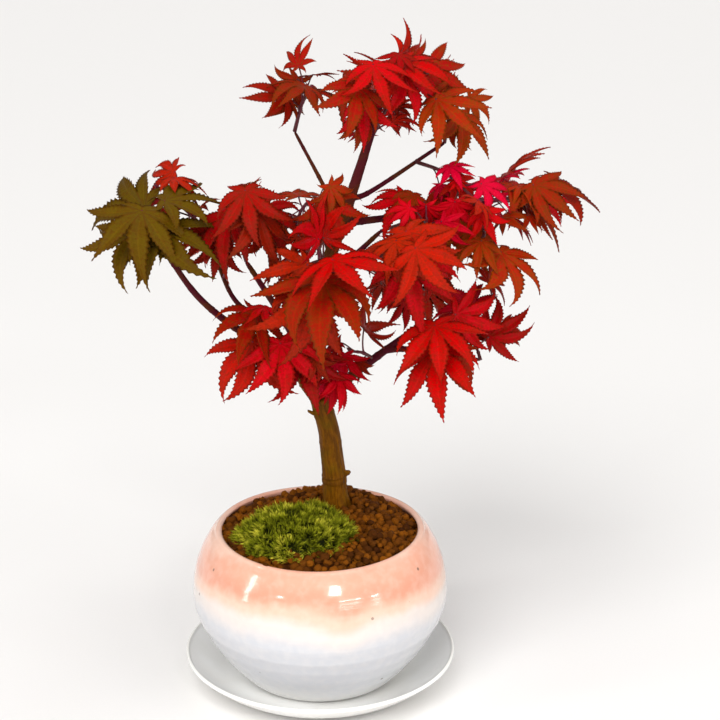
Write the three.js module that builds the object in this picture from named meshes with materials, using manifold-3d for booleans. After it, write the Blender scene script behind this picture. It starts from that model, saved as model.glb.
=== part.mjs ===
// Potted Japanese maple, a small red-leaved bonsai in a round glazed pot on its saucer.
// Millimetres, +Z up. Origin: centre of the saucer's underside. The tree's front faces -Y.
import * as THREE from 'three';
import { mergeVertices } from 'three/addons/utils/BufferGeometryUtils.js';
import Module from 'manifold-3d';

// ---- sizes
const GAP = 0.3; // between neighbouring pieces
const ROUND = 30; // sides of the turned pieces

const SAUCER = { rim: 64, foot: 38, height: 16.5, wall: 3.4, floor: 4.3 };
const POT = {
  base: 4.6, foot: 36, belly: 60, bellyAt: 45, rimAt: 78.2, rim: 48.6, wall: 4.2, floor: 5.5, drain: 6,
  lower: { reach: 60.7, power: 1.5 }, upper: { reach: 51.9, power: 2.2 },
};
const SOIL = { top: 79.7, flat: 26, edge: 72.6 }; // level under the trunk, then falling to the wall
const MOSS = { centre: [-10, -14], spread: [27, 22], height: 12.5, sunk: 5 };
const FLARE = { amount: 0.34, height: 13, lobes: 5 }; // the trunk's foot, where the roots begin

// Limbs: [x, y, z] from foot to tip, then the radius at each end. The last ones are hidden behind.
const LIMBS = {
  trunk: { path: [[8, 13, 80], [7.2, 12.2, 97], [6, 11, 110], [4.5, 10, 123], [0.5, 9.3, 139]],
    radius: [6.1, 4.6] },
  leader: { path: [[0, 9.3, 139.5], [-6, 10, 149], [-9, 11, 159], [-7, 12, 172], [-3, 12, 187],
    [7, 12, 211], [17, 12, 241], [28, 12, 277]], radius: [4.3, 1.7] },
  left_bough: { path: [[-9, 11, 160], [-21, 5, 167], [-35, -2, 176], [-53, -8, 194], [-68, -10, 217]],
    radius: [2.2, 1.2] },
  left_twig: { path: [[-34, -2, 175], [-33, 0, 184], [-41, 5, 195], [-55, 14, 233]], radius: [1.3, 0.8] },
  right_bough: { path: [[2, 9.3, 136], [15, 5.5, 151], [28, 2, 163], [47, -7, 181]], radius: [2.5, 1.3] },
  right_arm: { path: [[30, 0, 166], [45, -6, 168], [73, -12, 165]], radius: [1.4, 0.9] },
  middle_bough: { path: [[4, 12, 202], [24, 2, 209], [37, -4, 216], [49, -6, 219]], radius: [1.7, 1.1] },
  upper_bough: { path: [[12, 12, 223], [28, 20, 222], [62, 30, 224], [80, 27, 228]], radius: [1.8, 1.1] },
  high_twig: { path: [[15, 12, 234], [25, 18, 236], [58, 30, 255]], radius: [1.2, 0.9] },
  top_left_twig: { path: [[10, 12, 223], [4, 18, 236], [-10, 24, 262]], radius: [1.2, 0.8] },
  front_bough: { path: [[-3, 12, 187], [0, 2, 193], [3, -13, 213]], radius: [1.5, 1.0] },
  back_left_bough: { path: [[-9, 11, 164], [-16, 26, 172], [-34, 56, 191]], radius: [2.0, 1.2] },
  back_right_bough: { path: [[-1, 12, 190], [6, 27, 192], [30, 58, 205]], radius: [1.8, 1.1] },
  back_high_bough: { path: [[6, 12, 208], [3, 26, 213], [-4, 50, 222]], radius: [1.5, 0.9] },
};

// Masses: one stem each, from a place along a limb (at, 0 to 1) to its head. Pairs of leaves stand
// along it. girth: how far a leaf's middle may be from the stem. leaf: length of the middle lobe.
// face: azimuth and elevation the blades look towards. turn: angle of the first pair.
const MASSES = {
  left_outer: {
    on: 'left_bough', at: 1, head: [-74, -14, 228], girth: 40, pairs: 3, leaf: 34,
    face: [-100, 45], turn: 0, droop: 1.1, tint: 'olive', seed: 170,
  },
  apex: {
    on: 'leader', at: 1, head: [39, 12, 293], girth: 30, pairs: 3, leaf: 26,
    face: [-90, 35], turn: 150, droop: 1.2, tint: 'red', seed: 53,
  },
  apex_left: {
    on: 'leader', at: 0.93, head: [20, -3, 293], girth: 32, pairs: 3, leaf: 29,
    face: [-95, 25], turn: 0, droop: 1.2, tint: 'red', seed: 34,
  },
  apex_right: {
    on: 'leader', at: 0.95, head: [46, 7, 291], girth: 32, pairs: 3, leaf: 27,
    face: [-85, 40], turn: 0, droop: 0.4, tint: 'rust', seed: 75,
  },
  top_left: {
    on: 'top_left_twig', at: 1, head: [-4, 19, 282], girth: 32, pairs: 4, leaf: 24,
    face: [-100, 50], turn: 40, droop: 0.8, tint: 'rust', seed: 128,
  },
  top_right: {
    on: 'high_twig', at: 1, head: [61, 17, 277], girth: 30, pairs: 3, leaf: 26,
    face: [-85, 45], turn: 70, droop: 1.0, tint: 'orange', seed: 207,
  },
  top_right_low: {
    on: 'high_twig', at: 0.8, head: [70, -7, 238], girth: 22, pairs: 3, leaf: 16,
    face: [-90, 20], turn: 60, droop: 0.9, tint: 'crimson', seed: 197,
  },
  left_top: {
    on: 'left_twig', at: 1, head: [-70, 5, 241], girth: 34, pairs: 4, leaf: 23,
    face: [-100, 55], turn: 60, droop: 0.8, tint: 'red', seed: 138,
  },
  left_middle: {
    on: 'left_twig', at: 0.7, head: [-31, -13, 240], girth: 34, pairs: 4, leaf: 28,
    face: [-90, 35], turn: 70, droop: 1.2, tint: 'dark', seed: 150,
  },
  centre: {
    on: 'front_bough', at: 1, head: [2, -19, 215], girth: 36, pairs: 4, leaf: 38,
    face: [-90, 25], turn: 70, droop: 0.4, tint: 'red', seed: 143,
  },
  centre_top: {
    on: 'front_bough', at: 0.8, head: [-3, -5, 235], girth: 32, pairs: 3, leaf: 30,
    face: [-90, 40], turn: 150, droop: 1.2, tint: 'orange', seed: 135,
  },
  lower_left: {
    on: 'left_bough', at: 0.35, head: [-21, -12, 183], girth: 38, pairs: 4, leaf: 32,
    face: [-90, 20], turn: 150, droop: 1.2, tint: 'red', seed: 53,
  },
  lower_front: {
    on: 'left_bough', at: 0.18, head: [-11, -20, 174], girth: 32, pairs: 3, leaf: 30,
    face: [-90, 25], turn: 60, droop: 0.9, tint: 'dark', seed: 197,
  },
  lower_centre: {
    on: 'right_bough', at: 0.4, head: [4, -15, 161], girth: 26, pairs: 3, leaf: 16,
    face: [-90, 20], turn: 100, droop: 1.1, tint: 'crimson', seed: 166,
  },
  middle_right: {
    on: 'middle_bough', at: 0.6, head: [37, -25, 220], girth: 36, pairs: 4, leaf: 34,
    face: [-90, 20], turn: 40, droop: 1.1, tint: 'red', seed: 71,
  },
  middle_far: {
    on: 'middle_bough', at: 1, head: [48, -11, 229], girth: 32, pairs: 3, leaf: 27,
    face: [-85, 30], turn: 90, droop: 1.2, tint: 'crimson', seed: 36,
  },
  middle_low: {
    on: 'right_bough', at: 0.6, head: [15, -5, 167], girth: 30, pairs: 3, leaf: 22,
    face: [-90, 25], turn: 90, droop: 1.1, tint: 'dark', seed: 183,
  },
  right_top: {
    on: 'upper_bough', at: 1, head: [95, 15, 231], girth: 36, pairs: 4, leaf: 27,
    face: [-80, 60], turn: 70, droop: 1.1, tint: 'rust', seed: 51,
  },
  right_hang: {
    on: 'upper_bough', at: 0.9, head: [74, -4, 223], girth: 34, pairs: 3, leaf: 27,
    face: [-85, 20], turn: 150, droop: 0.3, tint: 'orange', seed: 161,
  },
  right_top_near: {
    on: 'upper_bough', at: 0.45, head: [47, 7, 232], girth: 34, pairs: 3, leaf: 27,
    face: [-90, 55], turn: 20, droop: 1.1, tint: 'red', seed: 167,
  },
  right_low: {
    on: 'right_bough', at: 1, head: [53, -15, 181], girth: 36, pairs: 3, leaf: 35,
    face: [-90, 20], turn: 140, droop: 0.6, tint: 'red', seed: 73,
  },
  right_low_far: {
    on: 'right_arm', at: 1, head: [71, -7, 170], girth: 32, pairs: 3, leaf: 27,
    face: [-85, 25], turn: 90, droop: 0.4, tint: 'crimson', seed: 76,
  },
  right_outer: {
    on: 'right_arm', at: 0.8, head: [79, 5, 188], girth: 30, pairs: 3, leaf: 22,
    face: [-80, 30], turn: 10, droop: 0.9, tint: 'crimson', seed: 115,
  },
  back_left: {
    on: 'back_left_bough', at: 1, head: [-38, 60, 200], girth: 38, pairs: 4, leaf: 30,
    face: [120, 40], turn: 120, droop: 0.3, tint: 'red', seed: 177,
  },
  back_left_low: {
    on: 'back_left_bough', at: 0.6, head: [-8, 48, 185], girth: 34, pairs: 3, leaf: 28,
    face: [90, 40], turn: 50, droop: 0.8, tint: 'dark', seed: 126,
  },
  back_right: {
    on: 'back_right_bough', at: 1, head: [50, 68, 205], girth: 38, pairs: 4, leaf: 30,
    face: [60, 40], turn: 0, droop: 0.6, tint: 'red', seed: 150,
  },
  back_right_low: {
    on: 'back_right_bough', at: 0.6, head: [40, 44, 187], girth: 34, pairs: 3, leaf: 28,
    face: [60, 30], turn: 140, droop: 0.6, tint: 'dark', seed: 73,
  },
  back_far_right: {
    on: 'upper_bough', at: 0.8, head: [88, 51, 221], girth: 32, pairs: 3, leaf: 27,
    face: [60, 50], turn: 10, droop: 0.7, tint: 'crimson', seed: 124,
  },
  back_far_left: {
    on: 'left_twig', at: 0.8, head: [-56, 29, 220], girth: 32, pairs: 3, leaf: 27,
    face: [130, 50], turn: 30, droop: 0.6, tint: 'rust', seed: 115,
  },
  back_high: {
    on: 'back_high_bough', at: 1, head: [-10, 62, 209], girth: 34, pairs: 3, leaf: 28,
    face: [95, 40], turn: 100, droop: 0.3, tint: 'rust', seed: 120,
  },
  back_top: {
    on: 'leader', at: 0.88, head: [35, 28, 277], girth: 32, pairs: 3, leaf: 26,
    face: [80, 45], turn: 10, droop: 0.6, tint: 'red', seed: 132,
  },
};

const FIRST = 0.45; // the lowest pair's place on its stem
const SPREAD = 55; // degrees between a stem and its leaf stalks
const TRIES = 16; // a leaf that fits nowhere after these is left out
const CLEAR = 0.6; // kept from leaves and limbs of other nodes
const OWN = 0.2; // kept between leaves of one mass
const STEM = [0.95, 0.6];
const STALK = 0.5;
const BLADE = 1.3; // thickness at the middle of a blade

// A leaf's lobes on one side of its rib, as angle and length, and the notches between them.
const LOBES = [[0, 1], [36, 0.93], [74, 0.74], [120, 0.38]];
const NOTCHES = [0.36, 0.33, 0.22];
const BACK_NOTCH = 0.07;

const COLOURS = {
  bark: '#6a5a34', twig: '#5b2a2c', pot: '#f4c9ac', saucer: '#efebe6', soil: '#5d3d2b', moss: '#57762f',
  red: '#b5121b', dark: '#7d0f18', crimson: '#c4153c', rust: '#8a3a20', orange: '#b5502b', olive: '#6f5a24',
};

// ---- vectors as [x, y, z]
const add = (a, b) => [a[0] + b[0], a[1] + b[1], a[2] + b[2]];
const sub = (a, b) => [a[0] - b[0], a[1] - b[1], a[2] - b[2]];
const mul = (a, k) => [a[0] * k, a[1] * k, a[2] * k];
const dot = (a, b) => a[0] * b[0] + a[1] * b[1] + a[2] * b[2];
const cross = (a, b) => [a[1] * b[2] - a[2] * b[1], a[2] * b[0] - a[0] * b[2], a[0] * b[1] - a[1] * b[0]];
const length = (a) => Math.sqrt(dot(a, a));
const unit = (a) => mul(a, 1 / length(a));
const mix = (a, b, t) => add(mul(a, 1 - t), mul(b, t));
const square = (a, b) => unit(sub(a, mul(b, dot(a, b)))); // the part of a at right angles to b
const steady = (way) => (Math.abs(way[2]) < 0.9 ? [0, 0, 1] : [1, 0, 0]); // never close to the way given
const radians = (degrees) => (degrees * Math.PI) / 180;

// The same numbers from the same seed on any machine.
class Seed {
  constructor(start) {
    this.state = start * 7919;
  }

  draw(low, high) {
    this.state = (this.state * 1664525 + 1013904223) % 4294967296;
    return low + ((high - low) * this.state) / 4294967296;
  }
}

function levels(from, to, steps) {
  return Array.from({ length: steps + 1 }, (_, i) => from + ((to - from) * i) / steps);
}

function along(path, t) {
  const span = Math.min(path.length - 2, Math.floor(t * (path.length - 1)));
  return mix(path[span], path[span + 1], t * (path.length - 1) - span);
}

function direction([azimuth, elevation]) {
  const [a, e] = [radians(azimuth), radians(elevation)];
  return [Math.cos(a) * Math.cos(e), Math.sin(a) * Math.cos(e), Math.sin(e)];
}

// ---- solids
const wasm = await Module();
wasm.setup();

function solid(geometry) {
  geometry.deleteAttribute('normal');
  geometry.deleteAttribute('uv');
  const merged = mergeVertices(geometry, 1e-5);
  const corners = merged.index.array;
  const faces = [];
  for (let i = 0; i < corners.length; i += 3) {
    const [a, b, c] = corners.slice(i, i + 3);
    if (a !== b && b !== c && c !== a) faces.push(a, b, c);
  }
  return new wasm.Manifold(new wasm.Mesh({
    numProp: 3, vertProperties: merged.attributes.position.array, triVerts: new Uint32Array(faces),
  }));
}

// Joined pieces as one body: loose scraps and sealed hollows go.
function whole(body) {
  return body.decompose().reduce((best, piece) => (piece.volume() > best.volume() ? piece : best));
}

function join(bodies) {
  return whole(bodies.reduce((sum, body) => sum.add(body)));
}

function mesh(name, body, colour, roughness) {
  const { vertProperties, triVerts } = body.getMesh();
  const geometry = new THREE.BufferGeometry();
  geometry.setAttribute('position', new THREE.BufferAttribute(new Float32Array(vertProperties), 3));
  geometry.setIndex(new THREE.BufferAttribute(new Uint32Array(triVerts), 1));
  geometry.computeVertexNormals();
  const material = new THREE.MeshStandardMaterial({ color: colour, roughness, metalness: 0 });
  const piece = new THREE.Mesh(geometry, material);
  piece.name = name;
  return piece;
}

function turned(profile) {
  return solid(new THREE.LatheGeometry(profile.map(([r, z]) => new THREE.Vector2(r, z)), ROUND)
    .rotateX(Math.PI / 2));
}

// Places along a smooth line through the path's points, each with two directions across it.
function spine(path, rings) {
  const points = path.map((p) => new THREE.Vector3(...p));
  const curve = new THREE.CatmullRomCurve3(points, false, 'catmullrom', 0.5);
  let flat = null;
  return levels(0, 1, rings).map((t) => {
    const way = curve.getTangent(t).toArray();
    flat = square(flat ?? steady(way), way);
    return { at: curve.getPoint(t).toArray(), flat, wide: cross(way, flat) };
  });
}

function stretched(path, more) {
  const ends = [unit(sub(path[0], path[1])), unit(sub(path.at(-1), path.at(-2)))];
  return [add(path[0], mul(ends[0], more)), ...path.slice(1, -1), add(path.at(-1), mul(ends[1], more))];
}

// A tapering tube along a path; widen(height, angle) swells it, grow makes it larger all round.
function tube(path, [foot, tip], sides, rings, grow = 0, widen = () => 1) {
  const places = spine(stretched(path, grow), rings);
  const geometry = new THREE.CylinderGeometry(1, 1, 1, sides, rings);
  const position = geometry.attributes.position;
  for (let i = 0; i < position.count; i += 1) {
    const [x, t, z] = [position.getX(i), position.getY(i) + 0.5, position.getZ(i)];
    const { at, flat, wide } = places[Math.round(t * rings)];
    const radius = (foot + (tip - foot) * t) * widen(at[2], Math.atan2(z, x)) + grow;
    position.setXYZ(i, ...add(at, add(mul(wide, x * radius), mul(flat, z * radius))));
  }
  return solid(geometry);
}

// ---- limbs
function flare(height, angle) {
  const low = Math.max(0, 1 - (height - LIMBS.trunk.path[0][2]) / FLARE.height);
  return 1 + FLARE.amount * low * low * (1 + 0.45 * Math.cos(FLARE.lobes * angle));
}

function limbSolid(name, grow = 0) {
  const { path, radius } = LIMBS[name];
  if (name === 'trunk') return levelFoot(tube(path, radius, 14, 10, grow, flare), path[0][2] - grow);
  return tube(path, radius, name === 'leader' ? 10 : 6, 2 * (path.length - 1), grow);
}

// The trunk's foot is cut off level, where it stands on the soil.
function levelFoot(body, height) {
  const ground = new THREE.BoxGeometry(60, 60, 20).translate(0, 0, height - 10);
  return body.subtract(solid(ground));
}

// ---- leaves
function outline() {
  const half = [];
  LOBES.forEach(([angle, reach], i) => {
    half.push([angle, reach]);
    if (i < 3) half.push([(angle + LOBES[i + 1][0]) / 2, NOTCHES[i]]);
  });
  const mirrored = half.filter(([angle]) => angle > 0).reverse().map(([angle, reach]) => [-angle, reach]);
  return [...mirrored, ...half, [180, BACK_NOTCH]];
}
const OUTLINE = outline();

function rimPoint(leaf, [angle, reach]) {
  const side = cross(leaf.normal, leaf.rib);
  const [ahead, aside] = [Math.cos(radians(angle)) * reach, Math.sin(radians(angle)) * reach];
  const flat = add(mul(leaf.rib, ahead), mul(side, aside));
  return add(leaf.base, mul(add(flat, mul(leaf.normal, -leaf.curl * reach * reach)), leaf.size));
}

// A shallow double cone whose rim is drawn out to the lobes and in to the notches.
function bladeSolid(leaf) {
  const profile = [new THREE.Vector2(0, -1), new THREE.Vector2(1, 0), new THREE.Vector2(0, 1)];
  const geometry = new THREE.LatheGeometry(profile, OUTLINE.length);
  const position = geometry.attributes.position;
  for (let i = 0; i < position.count; i += 1) {
    const rim = OUTLINE[Math.floor(i / 3) % OUTLINE.length];
    const pole = add(leaf.base, mul(leaf.normal, (position.getY(i) * BLADE) / 2));
    position.setXYZ(i, ...(i % 3 === 1 ? rimPoint(leaf, rim) : pole));
  }
  return solid(geometry);
}

function stalkSolid(leaf) {
  const [foot, tip] = [leaf.node, add(leaf.base, mul(leaf.rib, -Math.min(0.7, 0.03 * leaf.size)))];
  return tube([mix(foot, tip, 0.25 / length(sub(tip, foot))), tip], [STALK * 1.3, STALK], 3, 1);
}

// ---- room: what stands where, as points with a thickness
function room(points, thick, ways) {
  const [low, high] = [0, 1, 2].reduce(([l, h], axis) => [
    [...l, Math.min(...points.map((p) => p[axis]))], [...h, Math.max(...points.map((p) => p[axis]))],
  ], [[], []]);
  const middle = mix(low, high, 0.5);
  return { points, thick, ways, middle, reach: Math.max(...points.map((p) => length(sub(p, middle)))) };
}

function rodRoom(a, b, thick) {
  const way = unit(sub(b, a));
  const flat = square(steady(way), way);
  return room([a, b], thick, [flat, cross(way, flat)]);
}

function leafRoom(leaf) {
  const poles = [mul(leaf.normal, BLADE / 2), mul(leaf.normal, -BLADE / 2)].map((p) => add(leaf.base, p));
  const points = [...OUTLINE.map((rim) => rimPoint(leaf, rim)), ...poles];
  const tilts = [0, -1.2 * leaf.curl, 0.3].map((tilt) => unit(add(leaf.normal, mul(leaf.rib, tilt))));
  return room(points, 0, [...tilts, leaf.rib, cross(leaf.normal, leaf.rib)]);
}

// True when some plane parts the two by more than the space given.
function apart(a, b, space) {
  const between = sub(b.middle, a.middle);
  const needed = a.thick + b.thick + space;
  if (length(between) > a.reach + b.reach + needed) return true;
  return [...a.ways, ...b.ways, unit(between)].some((way) => {
    const [pa, pb] = [a, b].map(({ points }) => points.map((p) => dot(p, way)));
    return Math.min(...pa) - Math.max(...pb) > needed || Math.min(...pb) - Math.max(...pa) > needed;
  });
}

// ---- growth
function stemPath(mass) {
  const seat = along(LIMBS[mass.on].path, mass.at);
  const rise = [0, 0, 0.08 * length(sub(mass.head, seat))];
  return [seat, add(mix(seat, mass.head, 0.5), rise), mass.head];
}

function fromStem(point, path) {
  const [a, b] = [mix(path[0], path[2], 0.35), path[2]];
  const way = sub(b, a);
  const t = Math.min(1, Math.max(0, dot(sub(point, a), way) / dot(way, way)));
  return length(sub(point, mix(a, b, t)));
}

// One possible leaf at a node. Every call draws the same count of numbers, kept or not.
function possibleLeaf(mass, seed, node, pair, side, attempt) {
  const face = direction(mass.face);
  const flat = square(steady(node.way), node.way);
  const wide = cross(node.way, flat);
  const turn = radians(mass.turn + 90 * pair + seed.draw(-30, 30));
  const spread = radians(SPREAD - (pair === mass.pairs - 1 ? 18 : 0) + seed.draw(-16, 16));
  const aside = mul(add(mul(wide, Math.cos(turn)), mul(flat, Math.sin(turn))), side);
  const out = unit(add(add(mul(node.way, Math.cos(spread)), mul(aside, Math.sin(spread))), mul(face, 0.25)));
  const size = mass.leaf * seed.draw(0.82, 1.12) * (1 - 0.025 * attempt);
  const base = add(node.at, mul(out, size * seed.draw(0.35, 0.65)));
  const sway = [seed.draw(-0.2, 0.2), seed.draw(-0.2, 0.2), -mass.droop * seed.draw(0.7, 1.3)];
  const rib = unit(add(out, sway));
  const look = unit(add(face, [seed.draw(-0.25, 0.25), seed.draw(-0.25, 0.25), seed.draw(-0.25, 0.25)]));
  const curl = seed.draw(0.06, 0.26);
  if (Math.abs(dot(look, rib)) > 0.93) return null;
  return { node: node.at, base, rib, normal: square(look, rib), size, curl };
}

function fits(leaf, mass, path, others, own) {
  const heart = add(leaf.base, mul(leaf.rib, 0.4 * leaf.size));
  if (fromStem(heart, path) > mass.girth) return false;
  leaf.rooms = [leafRoom(leaf), rodRoom(leaf.node, leaf.base, STALK * 1.3)];
  if (!leaf.rooms.every((mine) => others.every((other) => apart(mine, other, CLEAR)))) return false;
  return own.every((other) => apart(leaf.rooms[0], other.rooms[0], OWN));
}

function growMass(mass, others) {
  const seed = new Seed(mass.seed);
  const path = stemPath(mass);
  const leaves = [];
  for (let pair = 0; pair < mass.pairs; pair += 1) {
    const t = FIRST + ((1 - FIRST) * pair) / (mass.pairs - 1);
    const half = t > 0.5 ? 1 : 0;
    const node = { at: along(path, t), way: unit(sub(path[half + 1], path[half])) };
    for (const side of [1, -1]) {
      for (let attempt = 0; attempt < TRIES; attempt += 1) {
        const leaf = possibleLeaf(mass, seed, node, pair, side, attempt);
        if (leaf && fits(leaf, mass, path, others, leaves)) {
          leaves.push(leaf);
          break;
        }
      }
    }
  }
  return { path, leaves };
}

function limbRooms({ path, radius: [foot, tip] }) {
  const spans = path.length - 1;
  return path.slice(1).map((end, i) => rodRoom(path[i], end, foot + ((tip - foot) * i) / spans));
}

function stemRooms(path) {
  return [rodRoom(path[0], path[1], STEM[0]), rodRoom(path[1], path[2], STEM[0])];
}

// Every mass in turn, clear of the limbs, of all stems and of the leaves grown before it.
function growCrown() {
  const limbs = Object.values(LIMBS).flatMap(limbRooms);
  const grown = {};
  for (const [name, mass] of Object.entries(MASSES)) {
    const stems = Object.keys(MASSES).filter((other) => other !== name)
      .flatMap((other) => stemRooms(stemPath(MASSES[other])));
    const leaves = Object.values(grown).flatMap((other) => other.leaves.flatMap((leaf) => leaf.rooms));
    grown[name] = growMass(mass, [...limbs, ...stems, ...leaves]);
  }
  return grown;
}

function massSolid({ path, leaves }) {
  const stem = tube(stretched(path, 0.8), STEM, 3, 2);
  return join([stem, ...leaves.map(stalkSolid), ...leaves.map(bladeSolid)]);
}

// ---- pot, saucer, soil and moss
function potRadius(z) {
  const { reach, power } = z < POT.bellyAt ? POT.lower : POT.upper;
  return POT.belly * (1 - (Math.abs(z - POT.bellyAt) / reach) ** power) ** (1 / power);
}

// The pot's inner wall, from the soil's edge down to its floor.
function innerWall() {
  const floor = POT.base + POT.floor;
  return [...levels(SOIL.edge, floor + 4, 4).map((z) => [potRadius(z) - POT.wall, z]),
    [potRadius(floor) - POT.wall - 3.5, floor]];
}

function potSolid() {
  const outside = levels(POT.base + 1, POT.rimAt - 2.2, 8).map((z) => [potRadius(z), z]);
  const lip = [[POT.rim + 0.3, POT.rimAt - 0.8], [POT.rim - 0.9, POT.rimAt], [POT.rim - 2.4, POT.rimAt - 0.7],
    [potRadius(POT.rimAt - 3) - POT.wall, POT.rimAt - 3]];
  return turned([[POT.drain, POT.base], [POT.foot - 1, POT.base], ...outside, ...lip, ...innerWall(),
    [POT.drain, POT.base + POT.floor], [POT.drain, POT.base]]);
}

function saucerSolid() {
  const { rim, foot, height, wall, floor } = SAUCER;
  const outside = levels(0, 1, 5).map((t) => [foot + 1 + (rim - foot - 1) * t,
    0.8 + (height - 2.2) * t ** 1.7]);
  const inside = levels(1, 0, 5).map((t) => [foot + 2 + (rim - foot - wall) * t,
    floor + (height - 0.8 - floor) * t ** 1.9]);
  return turned([[0, 0], [foot, 0], ...outside, [rim - 0.3, height - 0.4], [rim - 1.1, height],
    ...inside, [0, floor]]);
}

function soilSolid() {
  const wall = innerWall().reverse().map(([r, z]) => [r - 1.5 * GAP, z]);
  wall[0][1] += GAP;
  const edge = wall.at(-1)[0];
  const slope = levels(1, 0, 3).slice(1).map((t) => [SOIL.flat + (edge - SOIL.flat) * t,
    SOIL.top - (SOIL.top - SOIL.edge) * t ** 1.6]);
  return turned([[0, wall[0][1]], ...wall, ...slope, [0, SOIL.top]]);
}

// A low clump with a lumpy top, its underside lying on the soil.
function mossSolid(soil) {
  const geometry = new THREE.SphereGeometry(1, 22, 12).rotateX(Math.PI / 2);
  const position = geometry.attributes.position;
  for (let i = 0; i < position.count; i += 1) {
    const [x, y, z] = [position.getX(i), position.getY(i), position.getZ(i)];
    const lump = 1 + 0.05 * Math.sin(7 * x + 2) * Math.cos(6 * y) + 0.04 * Math.sin(11 * y + 5 * x);
    position.setXYZ(i, MOSS.centre[0] + MOSS.spread[0] * x * lump, MOSS.centre[1] + MOSS.spread[1] * y * lump,
      SOIL.top - MOSS.sunk + (z > 0 ? MOSS.height + MOSS.sunk : MOSS.sunk) * z * lump);
  }
  return whole(solid(geometry).subtract(soil.translate([0, 0, GAP])));
}

// ---- assembly
const group = new THREE.Group();
const soil = soilSolid();
group.add(
  mesh('saucer', saucerSolid(), COLOURS.saucer, 0.2),
  mesh('pot', potSolid(), COLOURS.pot, 0.15),
  mesh('soil', soil, COLOURS.soil, 0.95),
  mesh('moss', mossSolid(soil), COLOURS.moss, 0.95),
);

const grownLimbs = {};
for (const name of Object.keys(LIMBS)) grownLimbs[name] = limbSolid(name, GAP);
const names = Object.keys(LIMBS);
names.forEach((name, i) => {
  const cut = names.slice(0, i).reduce((body, other) => body.subtract(grownLimbs[other]), limbSolid(name));
  const bark = ['trunk', 'leader'].includes(name) ? COLOURS.bark : COLOURS.twig;
  group.add(mesh(name, whole(cut), bark, 0.7));
});

for (const [name, grown] of Object.entries(growCrown())) {
  const cut = names.reduce((body, limb) => body.subtract(grownLimbs[limb]), massSolid(grown));
  group.add(mesh(`leaves_${name}`, whole(cut), COLOURS[MASSES[name].tint], 0.5));
}

export default group;
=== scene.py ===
"""Potted Japanese maple: a small red-leaved bonsai in a round glazed pot on its saucer.

The trunk, boughs, leaves, moss, soil grains, pot and saucer are modelled round the packed part.
Sizes below are millimetres; meshes are written in metres. The tree's front faces -Y.
"""

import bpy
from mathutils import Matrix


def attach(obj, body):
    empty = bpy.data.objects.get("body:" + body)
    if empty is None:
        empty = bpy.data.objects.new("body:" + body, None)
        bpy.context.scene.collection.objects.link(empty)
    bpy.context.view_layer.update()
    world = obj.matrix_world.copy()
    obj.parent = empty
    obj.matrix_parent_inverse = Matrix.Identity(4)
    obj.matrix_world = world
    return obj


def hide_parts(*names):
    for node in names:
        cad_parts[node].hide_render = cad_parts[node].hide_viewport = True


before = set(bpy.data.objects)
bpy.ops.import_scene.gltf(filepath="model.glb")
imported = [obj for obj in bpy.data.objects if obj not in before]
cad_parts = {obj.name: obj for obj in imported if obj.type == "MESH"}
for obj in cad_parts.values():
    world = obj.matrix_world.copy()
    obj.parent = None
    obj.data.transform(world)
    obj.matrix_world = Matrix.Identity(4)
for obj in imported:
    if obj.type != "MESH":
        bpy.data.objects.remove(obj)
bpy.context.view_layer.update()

import math
from collections import namedtuple
from functools import partial
from itertools import product

import bmesh
import bpy
import numpy as np
from bpy.props import FloatProperty, FloatVectorProperty, IntProperty, PointerProperty
from mathutils import Matrix, Vector, noise

bl_info = {
    "name": "Potted Japanese maple",
    "version": (1, 0, 0),
    "blender": (4, 5, 0),
    "location": "3D View > Sidebar > Maple",
    "description": "Bark, leaves, moss, soil and glazes for a small potted maple",
    "category": "Object",
}

MM = 0.001  # metres in a millimetre
BODY = "root"

# ---- the tree's frame, as in the part
Limb = namedtuple("Limb", "path foot tip")
LIMBS = {
    "trunk": Limb([(8, 13, 80), (7.2, 12.2, 97), (6, 11, 110), (4.5, 10, 123), (0.5, 9.3, 139)],
                  6.1, 4.6),
    "leader": Limb([(0, 9.3, 139.5), (-6, 10, 149), (-9, 11, 159), (-7, 12, 172), (-3, 12, 187),
                    (7, 12, 211), (17, 12, 241), (28, 12, 277)], 4.3, 1.7),
    "left_bough": Limb([(-9, 11, 160), (-21, 5, 167), (-35, -2, 176), (-53, -8, 194), (-68, -10, 217)],
                       2.2, 1.2),
    "left_twig": Limb([(-34, -2, 175), (-33, 0, 184), (-41, 5, 195), (-55, 14, 233)], 1.3, 0.8),
    "right_bough": Limb([(2, 9.3, 136), (15, 5.5, 151), (28, 2, 163), (47, -7, 181)], 2.5, 1.3),
    "right_arm": Limb([(30, 0, 166), (45, -6, 168), (73, -12, 165)], 1.4, 0.9),
    "middle_bough": Limb([(4, 12, 202), (24, 2, 209), (37, -4, 216), (49, -6, 219)], 1.7, 1.1),
    "upper_bough": Limb([(12, 12, 223), (28, 20, 222), (62, 30, 224), (80, 27, 228)], 1.8, 1.1),
    "high_twig": Limb([(15, 12, 234), (25, 18, 236), (58, 30, 255)], 1.2, 0.9),
    "top_left_twig": Limb([(10, 12, 223), (4, 18, 236), (-10, 24, 262)], 1.2, 0.8),
    "front_bough": Limb([(-3, 12, 187), (0, 2, 193), (3, -13, 213)], 1.5, 1.0),
    "back_left_bough": Limb([(-9, 11, 164), (-16, 26, 172), (-34, 56, 191)], 2.0, 1.2),
    "back_right_bough": Limb([(-1, 12, 190), (6, 27, 192), (30, 58, 205)], 1.8, 1.1),
    "back_high_bough": Limb([(6, 12, 208), (3, 26, 213), (-4, 50, 222)], 1.5, 0.9),
}

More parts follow.
